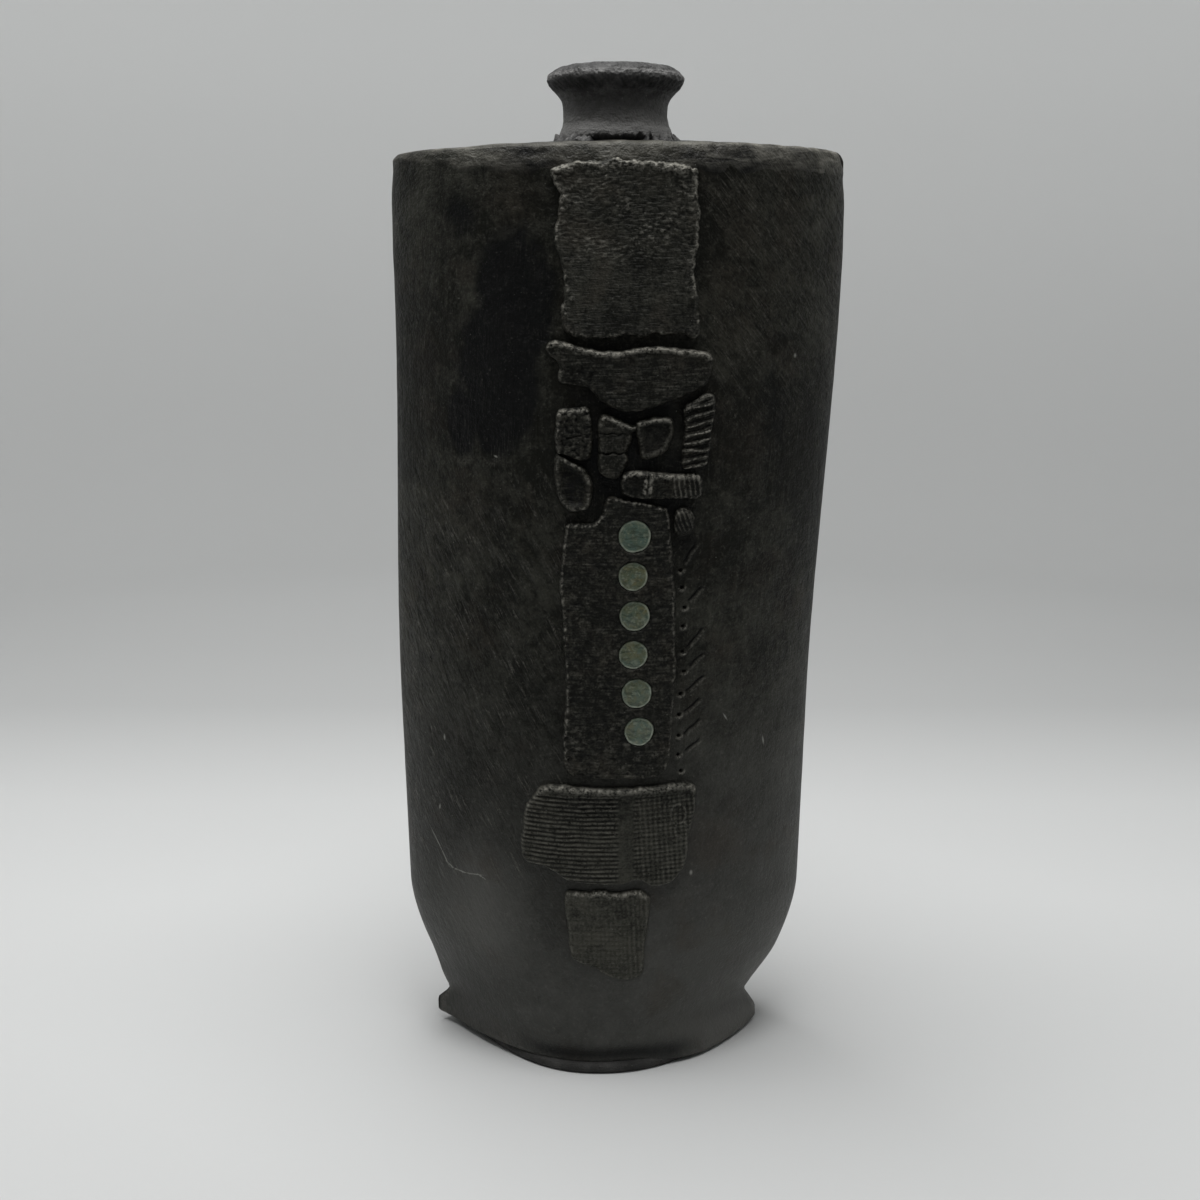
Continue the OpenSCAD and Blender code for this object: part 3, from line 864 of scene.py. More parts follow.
def base(name):
    """Thin lens-shaped sheet under the wall, with a soft rounded edge."""
    tip, depth, thick = box_mm("base_slab")[1]
    angle = full_turn(BASE_AROUND)
    across = tip * np.cos(angle) * np.where(np.cos(angle) < 0, 0.91, 1)
    along = depth * np.sign(np.sin(angle)) * (1 - np.abs(np.cos(angle)) ** 2.2)
    outline = np.stack([across, along], axis=-1)
    size = np.maximum(np.linalg.norm(outline, axis=-1, keepdims=True), 1)
    rings, wear_and_highlight = [], []
    for inset, part in BASE_PROFILE:
        flat = outline * (1 - np.minimum(inset / size, 0.9))
        uneven = 0.25 * fractal(outline[:, 0], outline[:, 1], 9, 70, 3)
        z = thick * part - (0.1 + 0.4 * uneven) * (0.2 < part) * (inset < 1)
        rings.append(np.column_stack([flat * (1 - 0.002 * (1 + uneven[:, None])), z]))
        wear_and_highlight.append(0.12 * within(part, 0.25, 0.9, 0.2) * (0.8 + uneven * 2))
    faces = capped_faces(len(rings), BASE_AROUND)
    return piece(name, ["base_slab"], rings, faces, base_clay, wear_and_highlight)


base("base_sheet")

# ---- neck

# Sections turned about the neck's axis: radius in mm, part of the height
NECK_AROUND = 360
NECK_PROFILE = [
    (12.5, 0.0), (16.5, 0.0), (18.8, 0.0), (19.6, 0.03), (19.6, 0.17), (19.1, 0.22),
    (18.3, 0.28), (17.9, 0.36), (17.8, 0.46), (18.0, 0.55), (18.9, 0.62), (20.6, 0.69),
    (22.4, 0.76), (23.3, 0.81), (23.5, 0.85), (23.1, 0.89), (22.2, 0.925), (21.0, 0.955),
    (19.3, 0.985), (17.5, 1.0), (15.9, 0.985), (14.6, 0.94), (13.4, 0.86), (12.7, 0.76),
    (12.5, 0.66), (12.5, 0.33),
]
COLLAR_AROUND = 540
COLLAR_PROFILE = [
    (17.2, 0.0), (21.9, 0.0), (22.3, 0.15), (21.8, 0.4), (21.0, 0.7), (20.1, 1.0),
    (19.2, 0.95), (18.2, 0.7), (17.2, 0.5),
]


def degrees_of(turn):
    """An angle in radians as degrees from -180 to 180."""
    return np.degrees(np.arctan2(np.sin(turn), np.cos(turn)))


def turned(section, steps):
    """Radius, second value and angle of a section turned about the neck's axis."""
    radius, turn = np.meshgrid(section[:, 0], full_turn(steps), indexing="ij")
    return radius, np.repeat(section[:, 1:], steps, axis=1), turn


def neck(name):
    """The thrown neck, rough at the lip and undercut at its foot."""
    radius, part, turn = turned(refined(NECK_PROFILE, 2), NECK_AROUND)
    z = SEAT_Z + (NECK_TOP - SEAT_Z) * part
    outside = radius > 15.5
    around = 20 * np.stack([np.cos(turn), np.sin(turn)])
    ring = noise(z / 1.7 + turn, around[0] / 30 + 5, 80)
    lump = fractal(around[0] + z, around[1] - z, 7, 82, 3)
    grit = fractal(around[0] * 1.3 + z, around[1] * 1.3 + z * 0.7, 1.5, 86, 2)
    lip = within(part, 0.72, 1.0, 0.05)
    relief = 0.1 * ring + 0.2 * lump + (0.1 + 0.24 * lip) * grit
    # The foot of the neck is undercut at the front, right of the middle
    facing = degrees_of(turn)
    under = within(facing, -30, 28, 12) * (part < 0.2)
    ragged = 0.5 + 0.5 * noise(facing / 7, facing * 0, 88)
    relief = relief - under * (2.4 * smooth((0.07 + 0.12 * ragged - part) / 0.05))
    radius += relief * outside
    z = z + 0.12 * lump * outside * (part > 0.2)
    # Painted light: the lower neck, which faces up and takes light off the shoulder, is painted
    # paler
    painted_light_foot = ramp(part, 0.7, 0.26) * (1.0 + 0.15 * lump + 0.2 * grit)
    wear_and_highlight = 0.1 * within(part, 0.84, 0.93, 0.03) * (0.7 + 1.4 * grit) + painted_light_foot
    # Painted shade: the lip's top, which faces the lamp, is painted darker, with a painted shadow
    # under the lip
    shade = within(part, 0.92, 1.0, 0.04) * (0.6 + 0.15 * lump + 0.25 * grit)
    lip_shadow_part = part + 0.03 * noise(around[0] / 3, around[1] / 3, 89)
    shade += 0.62 * within(lip_shadow_part, 0.7, 0.81, 0.03) * (0.8 + 0.5 * grit)
    # Painted shadow in the undercut foot, and painted shade inside the bore
    dark = 0.8 * under * ramp(part, 0.14, 0.1) + 0.5 * (~outside) + shade * outside
    points = about_neck(radius, turn, z)
    faces = grid_faces(*z.shape, round_cols=True, round_rows=True)
    return piece(name, ["neck"], points, faces, neck_clay, wear_and_highlight * outside, dark)


def collar(name):
    """Torn clay pressed round the neck joint, nearly gone at the front."""
    bottom, top = box_mm("neck_collar")[:, 2]
    radius, part, turn = turned(refined(COLLAR_PROFILE, 1), COLLAR_AROUND)
    facing = degrees_of(turn)
    gap = within(facing, -20, 26, 8)
    torn = fractal(facing, part * 8, 7, 90, 4)
    tall = np.clip(0.75 + 0.45 * noise(facing / 9, facing * 0 + 2, 93) + 0.3 * torn, 0.3, 1.0)
    tall = tall * (1 - 0.7 * gap)
    z = bottom - 0.3 + (top - bottom + 0.3) * part * tall
    outside = ramp(radius, 17.5, 19)
    clods = noise(facing / 8, part * 2, 97)
    radius += outside * (1.1 * torn - 0.1 + 1.1 * clods) * (1 - 0.6 * gap)
    radius = np.clip(radius, 16, 23.6)
    points = about_neck(radius, turn, z)
    wear_and_highlight = ramp(part, 0.45, 0.85) * (0.35 + 0.8 * torn) * (1 - gap)
    # Painted shadow in the low gap at the front, and painted shade low between the torn clods
    dark = 0.6 * gap + 0.7 * smooth(0.1 - torn) * (1 - gap)
    faces = grid_faces(*z.shape, round_cols=True, round_rows=True)
    return piece(name, ["neck_collar"], points, faces, neck_clay, wear_and_highlight, dark)


neck("thrown_neck")
collar("torn_collar")

# ---- applied patches


def edge_distance(outline, x, z):
    """Distance in mm from each point to the outline, positive inside it."""
    inside = np.zeros(x.shape, bool)
    nearest = np.full(x.shape, 1e9)
    for (ax, az), (bx, bz) in zip(outline, np.roll(outline, -1, axis=0)):
        run, rise = bx - ax, bz - az
        part = np.clip(((x - ax) * run + (z - az) * rise) / (run**2 + rise**2), 0, 1)
        nearest = np.minimum(nearest, np.hypot(x - ax - part * run, z - az - part * rise))
        if rise != 0:
            inside ^= ((az > z) != (bz > z)) & (x < ax + (z - az) * run / rise)
    return np.where(inside, nearest, -nearest)


def trimmed(field):
    """A grid cut along field = 0: its points as (row, col), faces and edge links."""
    kept = field > 0
    index = np.full(field.shape, -1)
    index[kept] = np.arange(kept.sum())
    spots = np.argwhere(kept).astype(float).tolist()
    whole = kept[:-1, :-1] & kept[:-1, 1:] & kept[1:, 1:] & kept[1:, :-1]
    r, c = np.nonzero(whole)
    corners = [index[r, c], index[r, c + 1], index[r + 1, c + 1], index[r + 1, c]]
    faces = np.stack(corners, axis=-1).tolist()
    some = kept[:-1, :-1] | kept[:-1, 1:] | kept[1:, 1:] | kept[1:, :-1]
    cuts, links = {}, {}
    for r, c in np.argwhere(some & ~whole).tolist():
        loop = [(r, c), (r, c + 1), (r + 1, c + 1), (r + 1, c)]
        face, leaving, entering = [], None, None
        for a, b in zip(loop, loop[1:] + loop[:1]):
            if kept[a]:
                face.append(int(index[a]))
            if kept[a] != kept[b]:
                key = (min(a, b), max(a, b))
                if key not in cuts:
                    cuts[key] = len(spots)
                    start, end = key
                    part = field[start] / (field[start] - field[end])
                    part = min(max(part, 0.1), 0.9)
                    spots.append([s + part * (e - s) for s, e in zip(start, end)])
                face.append(cuts[key])
                if kept[a]:
                    leaving = cuts[key]
                else:
                    entering = cuts[key]
                if leaving is not None and entering is not None:
                    links[leaving] = entering
                    leaving = entering = None
        faces.append(face)
    return np.array(spots), faces, links


def between(values, spots):
    """A grid's values at (row, col) spots that may lie between its points."""
    r, c = np.clip(spots, 0, np.array(values.shape) - 1.001).T
    r0, c0 = r.astype(int), c.astype(int)
    up, along = r - r0, c - c0
    bottom = values[r0, c0] * (1 - along) + values[r0, c0 + 1] * along
    top = values[r0 + 1, c0] * (1 - along) + values[r0 + 1, c0 + 1] * along
    return bottom * (1 - up) + top * up


def loops_of(links):
    """The closed loops that the links from edge point to edge point make."""
    unseen = set(links)
    while unseen:
        first = unseen.pop()
        loop, vertex = [first], links[first]
        while vertex != first and vertex in unseen:
            unseen.discard(vertex)
            loop.append(vertex)
            vertex = links[vertex]
        if len(loop) > 2:
            yield loop


# The patches in mm: grid spacing, grid past the outline, least height over the wall
CELL = 0.3
MARGIN = 1.5
LEAST = 0.15
# Rows of points below a patch's edge: part of the height there, bulge in mm
SKIRT = [(0.72, 0.16), (0.42, 0.24), (0.12, 0.3), (-0.25, 0.3)]


def patch(name, node, relief, material, torn, seed, outline):
    """Clay laid on the front wall. The outline is in mm from the CAD node's lower left corner;
    relief(u, v, depth, up) gives height over the wall, paleness and darkness, where up is 1 beside
    an edge that faces upwards. The paleness is dust and rubbing together with painted highlights on
    upward edges, and the darkness is painted shade in hollows."""
    x0, _, z0 = box_mm(node)[0]
    outline = refined(outline, 2)
    low, high = outline.min(0) - MARGIN, outline.max(0) + MARGIN
    u, v = np.meshgrid(np.arange(low[0], high[0], CELL), np.arange(low[1], high[1], CELL))
    field = edge_distance(outline, u, v) + torn * (fractal(u, v, 3.4, seed, 3) + 0.15)
    spots, faces, links = trimmed(field)
    u, v = low[0] + spots[:, 1] * CELL, low[1] + spots[:, 0] * CELL
    slope_v, slope_u = np.gradient(field)
    depth = np.maximum(between(field, spots), 0)
    away = -np.stack([between(slope_u, spots), between(slope_v, spots)], axis=-1)
    away /= np.maximum(np.linalg.norm(away, axis=-1, keepdims=True), 1e-6)
    height, wear_and_highlight, dark = relief(u, v, depth, smooth(away[:, 1] * 1.4))
    height = np.maximum(height, LEAST)
    points = front_point(x0 + u, z0 + v, height)

    # The skirt, from the edge down into the wall, painted darker towards the wall as a painted
    # shadow round the patch
    edge = np.array(list(links))
    place = {vertex: k for k, vertex in enumerate(edge)}
    rings, wear_and_highlight_rings, darks = [edge], [wear_and_highlight], [dark]
    for part, bulge in SKIRT:
        x = x0 + u[edge] + away[edge, 0] * bulge
        z = z0 + v[edge] + away[edge, 1] * bulge
        lift = height[edge] * part if part > 0 else np.full(len(edge), part)
        rings.append(np.arange(len(points), len(points) + len(edge)))
        points = np.concatenate([points, front_point(x, z, lift)])
        wear_and_highlight_rings.append(wear_and_highlight[edge] * max(part, 0) * 0.8)
        darks.append(np.maximum(dark[edge], 0.5 * (1 - max(part, 0))))
    for upper, lower in zip(rings, rings[1:]):
        for vertex, after in links.items():
            if after in place:
                a, b = place[vertex], place[after]
                faces.append([int(upper[a]), int(upper[b]), int(lower[b]), int(lower[a])])
    faces += [[int(rings[-1][place[k]]) for k in loop] for loop in loops_of(links)]
    wear_and_highlight, dark = np.concatenate(wear_and_highlight_rings), np.concatenate(darks)
    return piece(name, [node], points, faces, material, wear_and_highlight, dark, 70)


def rolled(depth, reach):
    """Height of an edge from 0.4 at the rim to 1 at reach mm inside it."""
    t = np.clip(depth / reach, 0, 1)
    return 0.4 + 0.6 * np.sqrt(1 - (1 - t) ** 2)


def ribs(across, pitch, wobble):
    """Rounded ribs from 0 in the groove to 1 on the crest."""
    return 0.5 + 0.5 * np.cos(2 * np.pi * (across / pitch + wobble))


def broken(crumbs, base=0.5):
    """1 where an edge stands and 0 where it has crumbled away."""
    return np.clip(base + 1.5 * crumbs, 0, 1.6)


def rim_of(depth, up, crumbs, everywhere):
    """A thin broken bead along the edge, strongest where the edge faces upwards; as paleness it is
    a painted highlight on those edges.
    """
    return hump(depth, 0.4, 0.42) * (everywhere + (1 - everywhere) * up) * broken(crumbs)


def upper_patch_relief(u, v, depth, up):
    """Torn and dragged clay, its upper part paler and more torn."""
    crumbs = fractal(u, v, 1.4, 101, 4)
    flakes = fractal(u, v, 3.6, 103, 4)
    bottom = ramp(v, 6, 2)
    sides = 0.95 - 0.7 * bottom
    bead = rim_of(depth, up, crumbs, sides) * smooth(0.8 + 1.6 * noise(u / 7, v / 7, 107))
    torn = hump(depth, 1.3, 1.5) * (0.15 + 0.85 * up) * broken(flakes, 0.4)
    upper = ramp(v, 18, 32)
    bend = 0.8 * np.sin(u / 7) + 0.7 * noise(u / 8, v / 8, 104)
    drag = fractal(u / 2.6, v + bend, 1.0, 105, 3)
    fold = np.abs(noise(u / 6, (v + bend) / 2.6, 109))
    height = 2.2 * rolled(depth, 0.8) + 0.2 * bead + 0.8 * torn
    height += drag * (0.06 + 0.15 * upper) - 0.12 * upper * hump(fold / 0.12)
    height += 0.3 * noise(u / 12, v / 12, 108) + (0.06 + 0.06 * upper) * crumbs
    dusty = smooth(0.5 + 1.4 * noise(u / 13, v / 11, 110)) * (0.12 + 0.88 * upper)
    # Paler along the crumbled rim and the torn top: crumbled clay, and a painted highlight where
    # the edge faces upwards
    wear_and_highlight = 2.2 * bead + 0.8 * torn + dusty * 0.5 * smooth((drag + 0.5 * crumbs) / 0.7)
    # Painted shade in the troughs of the drag lines and in the folds, and darker towards the bottom
    dark = upper * (0.35 * smooth(-drag - 0.3 * crumbs) + 0.25 * hump(fold / 0.1))
    dark += 0.2 * ramp(v, 12, 2) * smooth(0.6 + flakes)
    return height, wear_and_highlight, dark


def boat_relief(u, v, depth, up):
    """A dragged band with a rolled upper edge and a torn tongue at the left."""
    crumbs = fractal(u, v, 1.5, 111, 3)
    bead = rim_of(depth, up, crumbs, 0.1)
    lip = hump(depth, 0.8, 0.75) * up * (0.85 + 0.6 * crumbs)
    lines = noise(u / 9, v / 0.5, 113) + 0.5 * noise(u / 3, v / 1.2, 114)
    tongue = ramp(u, 16, 11) * ramp(v, 17, 13)
    tear = hump((u - 15.5 - 0.3 * (v - 10)) / 0.8) * ramp(v, 15, 12)
    height = (2.5 - 0.9 * tongue) * rolled(depth, 1.1) + 0.6 * lip
    height += 0.14 * lines + 0.2 * crumbs - 0.7 * tear - 0.4 * tongue * np.abs(crumbs)
    # Painted highlight along the upper edge that faces upwards, with pale crumbs; painted shade in
    # the troughs of the drag lines and in the tear, and darker over the tongue
    wear_and_highlight = 1.2 * lip + 0.6 * bead + 0.2 * smooth(lines) + 0.4 * tongue * smooth(crumbs)
    return height, wear_and_highlight, 0.4 * smooth(-lines) + 0.15 * tongue + 0.6 * tear


def pitted_relief(u, v, depth, up):
    """A pitted tile, cracked across."""
    crumbs = fractal(u, v, 1.3, 121, 3)
    pits = smooth((noise(u / 1.5, v / 1.5, 122) - 0.1) / 0.4)
    crack = hump((v - 6.5 - 0.25 * u + 0.7 * noise(u / 3, v * 0, 125)) / 0.3)
    bead = rim_of(depth, up, crumbs, 0.25)
    lip = hump(depth, 1, 0.8) * up * (0.8 + 0.5 * crumbs)
    height = 2.4 * rolled(depth, 0.9) - 0.4 * pits - 0.5 * crack + 0.5 * lip + 0.12 * crumbs
    left = hump(depth, 0.5, 0.5) * ramp(u, 3, 1.5) * np.clip(0.6 + crumbs, 0, 1.2)
    # Paler along the crumbled rims, the left one most, with a painted highlight on edges that face
    # upwards; painted shade in the pits and the crack
    wear_and_highlight = 0.95 * lip + 0.5 * bead + 0.7 * left + 0.25 * (1 - pits) * smooth(crumbs)
    return height, wear_and_highlight, 0.6 * pits + 0.5 * crack


def hollow_relief(u, v, depth, up):
    """A tile pressed hollow inside a raised rim."""
    crumbs = fractal(u, v, 1.6, 131, 2)
    bowl = ramp(depth, 1.2, 3.2)
    lower = ramp(v, 8, 4)
    ring = hump(depth, 0.7, 0.5) * (0.3 + 0.4 * lower + 0.6 * up)
    height = 2.5 * rolled(depth, 0.9) - 1.3 * bowl + 0.12 * crumbs
    # The rim is paler, most at the bottom and, as a painted highlight, along edges that face
    # upwards; painted shade in the bowl
    return height, ring * (0.6 + crumbs), 0.75 * bowl * smooth(0.6 + 1.5 * crumbs)


def lobed_relief(u, v, depth, up):
    """A tile of three lobes, parted by two cracks."""
    crumbs = fractal(u, v, 1.4, 141, 3)
    crack = hump((v - 8.2 + 1.3 * noise(u / 4, v * 0, 143)) / 0.35)
    crack = np.maximum(crack, 0.6 * hump((v - 14.5 + noise(u / 3, v * 0, 145)) / 0.3))
    lip = hump(depth, 0.9, 0.6) * (0.1 + 0.9 * up) * (0.7 + 0.7 * crumbs)
    height = 2.5 * rolled(depth, 1.2) - 0.9 * crack + 0.25 * noise(u / 5, v / 5, 142)
    height += 0.2 * crumbs + 0.35 * lip
    # Painted highlight along edges that face upwards, and pale crumbs; painted shade in the cracks
    return height, 0.95 * lip + 0.14 * smooth(crumbs), 0.6 * crack


def square_relief(u, v, depth, up):
    """A square tile with a shallow bowl."""
    crumbs = fractal(u, v, 1.4, 151, 3)
    bowl = ramp(depth, 1, 2.2) * ramp(u, 2.5, 4)
    lip = hump(depth, 0.8, 0.6) * (0.2 + 0.8 * up) * (0.75 + 0.6 * crumbs)
    height = 2.4 * rolled(depth, 1.0) - 0.9 * bowl + 0.1 * crumbs + 0.3 * lip
    # Painted highlight along edges that face upwards; painted shade in the bowl
    return height, lip, 0.4 * bowl


def slanted_relief(u, v, depth, up):
    """A tile with slanted ribs."""
    crumbs = fractal(u, v, 1.2, 163, 2)
    lean = v - (0.12 + 0.008 * v) * u
    rib = ribs(lean, 2.7, 0.35 * noise(u / 9, v / 4.5, 161))
    step = ribs(lean, 1.05, 0.5 * noise(u / 6, v / 3, 165))
    fresh = smooth(0.5 + 1.2 * noise(u / 4, v / 2, 167))
    height = (1.6 + 0.8 * rib**2.5 + 0.25 * step) * rolled(depth, 0.7) + 0.16 * crumbs
    # Paler on the rib crests, and a painted highlight along edges that face upwards; painted shade
    # in the grooves between the ribs
    wear_and_highlight = 0.95 * ramp(rib, 0.88, 0.98) * (0.5 + 0.5 * fresh + 0.8 * crumbs)
    wear_and_highlight += 0.4 * ramp(step, 0.75, 0.95) * fresh * smooth(0.5 + crumbs)
    wear_and_highlight += 0.7 * up * hump(depth, 0.7, 0.6) + 0.3 * rim_of(depth, up, crumbs, 0.6)
    return height, wear_and_highlight, 0.5 * ramp(rib, 0.35, 0.05) + 0.2 * ramp(step, 0.3, 0)


def bar_relief(u, v, depth, up):
    """A bar with two nicks and a ribbed right end."""
    crumbs = fractal(u, v, 1.4, 171, 3)
    end = ramp(u, 16.5, 18)
    rib = ribs(u + 0.15 * v, 1.7, 0.1 * noise(u / 5, v / 3, 173)) * end
    nicks = hump((u - 7.6 - 0.12 * v) / 0.4) + hump((u - 9.4 - 0.12 * v) / 0.4)
    nicks *= within(v, 2.5, 7.6, 0.7) * np.clip(0.8 + crumbs, 0, 1)
    lip = hump(depth, 0.9, 0.7) * up * (0.8 + 0.5 * crumbs)
    height = 2.3 * rolled(depth, 1.1) + 0.5 * lip + 0.4 * crumbs * (1 - end)
    height += 0.45 * (rib - 0.8 * end) + 0.4 * nicks
    rim = rim_of(depth, up, crumbs, 0.5)
    # Painted highlight along edges that face upwards, and paler on the crests and the nicks;
    # painted shade in the low crumbs and between the end ribs
    wear_and_highlight = 1.15 * lip + 0.6 * rim + 0.4 * ramp(rib, 0.65, 0.95) + 3.5 * nicks
    return height, wear_and_highlight, 0.5 * smooth(0.2 - crumbs) * (1 - end) + 0.35 * (end - rib) * end


def pellet_relief(u, v, depth, up):
    """A small ribbed dome."""
    rib = ribs(u + 0.35 * v, 1.5, 0.2 * noise(u / 3, v / 3, 175))
    dome = np.sqrt(1 - (1 - np.clip(depth / 3.5, 0, 1)) ** 2)
    height = 0.9 + 1.7 * dome + 0.4 * (rib - 0.5) * smooth(depth / 1.2)
    # Paler on the rib crests, and a painted highlight along edges that face upwards; painted shade
    # between the ribs
    wear_and_highlight = 0.3 * ramp(rib, 0.7, 1) * (v > 1.5) + 0.45 * up * hump(depth, 0.7, 0.6)
    return height, wear_and_highlight, 0.6 * (1 - rib) * ramp(depth, 0.6, 1.4)


# Middles (x, z) of the glaze dots, their radii, and how blue each glaze is
DOT_SPOTS = [box_mm(f"glaze_dot_{k}").mean(0)[[0, 2]] for k in range(1, 7)]
DOT_RADII = [5.5, 4.95, 5.2, 4.95, 5.2, 5.05]
DOT_BLUES = [0.95, 0.3, 0.35, 0.45, 0.55, 0.6]
# The glaze's grid, and its top and underside over the wall in mm
DOT_RINGS = 26
DOT_AROUND = 96
GLAZE_TOP = 1.62
GLAZE_UNDER = 0.7
PANEL_X, _, PANEL_Z = box_mm("notched_panel")[0]


def panel_relief(u, v, depth, up):
    """The long panel with a leathery face and the glaze dots' sockets."""
    crumbs = fractal(u, v, 1.5, 181, 3)
    lines = noise(u / 10, v / 0.6, 184) + 0.6 * noise(u / 3, v / 0.9, 185)
    left = ramp(u, 5, 2)
    steps = ramp(v, 86, 88)
    right = ramp(u, 33, 36)
    bead = hump(depth, 0.4, 0.4) * broken(crumbs)
    low = ramp(v, 24, 16)
    wrinkles = np.abs(fractal(u, v * 1.6, 5, 187, 3))
    hide = fractal(u, v, 3.2, 189, 4)
    height = 1.9 * rolled(depth, 0.8) + 0.08 * lines + 0.18 * crumbs + 0.28 * hide
    height += 0.3 * bead * (left + steps) - 0.6 * low * wrinkles
    height -= 0.9 * hump(u, 3, 1.1) * hump(v - 7.5)
    # Paler on the rough left rim and the right edge, with a painted highlight on the upward edges
    # of the steps
    wear_and_highlight = bead * (0.05 + 0.7 * left + steps * up + 0.35 * right)
    wear_and_highlight += 0.12 * smooth((lines + crumbs - 0.2) / 0.6)
    wear_and_highlight += 0.22 * low * ramp(wrinkles, 0.4, 0.8)
    # Painted shade in the troughs of the lines, the low places and the hollows between the wrinkles
    dark = 0.2 * smooth(-lines / 0.5) + 0.3 * smooth(-hide / 0.3)
    dark += 0.2 * low * smooth(0.4 - wrinkles)
    for (x, z), radius in zip(DOT_SPOTS, DOT_RADII):
        away = np.hypot(u + PANEL_X - x, v + PANEL_Z - z)
        bowl = smooth((radius + 0.45 - away) / 0.6)
        height = height * (1 - bowl) + 0.85 * bowl
        height += 0.1 * hump((away - radius - 0.9) / 0.6)
        # Painted shade in the socket
        dark = np.maximum(dark, 0.5 * bowl)
    return height, wear_and_highlight, dark


def comb_relief(u, v, depth, up):
    """Combed ribs at the left, a plain strip, and a weave at the right."""
    crumbs = fractal(u, v, 1.6, 190, 3)
    bend = 0.9 * np.sin(u / 21 + 0.4) + 0.25 * noise(u / 9, v / 9, 191)
    rib = ribs(v + bend, 1.62, 0.12 * noise(u / 6, v / 2.5, 193))
    strip = within(u, 35.5, 39, 1.8)
    weave_side = ramp(u, 40, 42)
    upright = ribs(u + 0.06 * v, 1.75, 0.1 * noise(u / 3, v / 6, 195))
    weave = 0.55 * rib + 0.45 * upright
    tooth = rib * (1 - weave_side) + weave * weave_side
    tooth = tooth * (1 - strip) + (0.45 + 0.1 * rib) * strip
    uneven = 0.55 + 0.45 * smooth(0.5 + noise(u / 7, v / 4, 197))
    edge_top = ramp(v, 34, 36)
    lip = hump(depth, 1.1, 0.9) * edge_top * (0.85 + 0.3 * crumbs)
    loop = hump((np.hypot((u - 55.5) / 2.6, (v - 27.5) / 3.6) - 1) / 0.13)
    second = hump((np.hypot((u - 56.5) / 2.2, (v - 21.5) / 3.0) - 1) / 0.15)
    loops = np.clip(loop + 0.7 * second, 0, 1) * ramp(u, 60.5, 58.5)
    plain = ramp(v, 34.5, 35.7)
    height = (2.1 + 0.4 * edge_top) * rolled(depth, 1.2) + 0.06 * crumbs
    height += 0.6 * (tooth - 0.5) * uneven * (1 - plain) * smooth(depth / 1.5)
    height += 0.2 * loops + 0.3 * lip
    # Painted highlight along the upper edge, and paler on the tooth crests and the loops; painted
    # shade in the grooves between the teeth
    wear_and_highlight = 0.5 * lip + rim_of(depth, up, crumbs, 0.3) * 0.5
    wear_and_highlight += 0.3 * ramp(tooth, 0.6, 1) * uneven * (1 - plain) + 0.3 * loops
    return height, wear_and_highlight, 0.6 * ramp(tooth, 0.45, 0.05) * (1 - plain) + 0.12 * strip


def tab_relief(u, v, depth, up):
    """The print of coarse cloth."""
    crumbs = fractal(u, v, 1.6, 200, 3)
    level = ribs(v + 0.5 * noise(u / 9, v / 6, 201), 1.9, 0.15 * noise(u / 5, v / 3, 202))
    upright = ribs(u + 0.05 * v, 1.6, 0.2 * noise(u / 5, v / 9, 203))
    right = ramp(u, 19, 23)
    cloth = level * (0.6 - 0.4 * right) + upright * (0.4 + 0.4 * right)
    top = ramp(v, 30, 33)
    foot = ramp(v, 1, 17)
    lip = hump(depth, 0.9, 0.7) * top * up * (0.85 + 0.4 * crumbs)
    height = (0.45 + 1.6 * foot) * rolled(depth, 1.4) + 0.05 * crumbs
    height += 0.26 * (cloth - 0.5) * smooth(depth / 1.2) + 0.3 * lip
    # Painted highlight along the upper edge, and paler on the raised threads; painted shade in the
    # grooves of the cloth
    wear_and_highlight = 0.55 * lip + rim_of(depth, up, crumbs, 0.35) * 0.5
    wear_and_highlight += 0.12 * ramp(cloth, 0.55, 0.85) * np.clip(0.7 + crumbs, 0, 1)
    return height, wear_and_highlight, 0.3 * ramp(cloth, 0.4, 0) * (0.4 + 0.6 * right)


patch("torn_upper_patch", "upper_patch", upper_patch_relief, patch_clay, 0.55, 300, [
    (0, 54), (8.5, 55), (14.5, 55.5), (21, 56), (25, 55.5), (37, 55), (46, 54), (47.5, 51),
    (46.5, 46.5), (48, 40), (47, 27), (46, 19), (47.5, 11), (48.2, 4), (48.6, 1.4), (48, 0.2),
    (45.5, 0.1), (42, 1.8), (38, 0.6), (33, 1.8), (29.5, 0), (25, 1), (19, 0), (12.5, 0), (7, 0.8),
    (4.8, 1.4), (3.8, 3.4), (3, 9.5), (4.5, 13), (4.5, 19), (1.5, 29), (0.5, 32), (3.5, 43),
    (2.5, 47), (0, 50.5),
])
patch("dragged_band", "boat_band", boat_relief, patch_clay, 0.3, 310, [
    (0.5, 20.5), (3.5, 23), (6.5, 22.5), (12.5, 20.5), (18.5, 19.5), (25, 19), (31, 20.5),
    (37.5, 21), (50, 19.5), (54.5, 19), (56, 16), (55.5, 13), (54, 9), (50, 6.5), (37.5, 2),
    (31.5, 0), (25, 0), (19, 3.5), (15, 8.5), (6, 9), (5, 11.5), (6, 15.5), (2, 18.5),
])
patch("pitted_tile", "tile_upper_left", pitted_relief, patch_clay, 0.3, 320, [
    (0.5, 17), (5, 17), (11, 18), (11.5, 14), (12, 8), (11.5, 0.5), (7, 0.3), (2.5, 2.5), (0, 2.5),
    (0, 9.5),
])
patch("hollow_tile", "tile_lower_left", hollow_relief, patch_clay, 0.2, 330, [
    (0.2, 19.2), (3.0, 18.2), (6, 16.6), (9.5, 15), (11.5, 12), (12.5, 8.5), (12, 3.5), (11, 1),
    (6.5, 0), (3, 1.5), (1, 5.5), (0, 12),
])
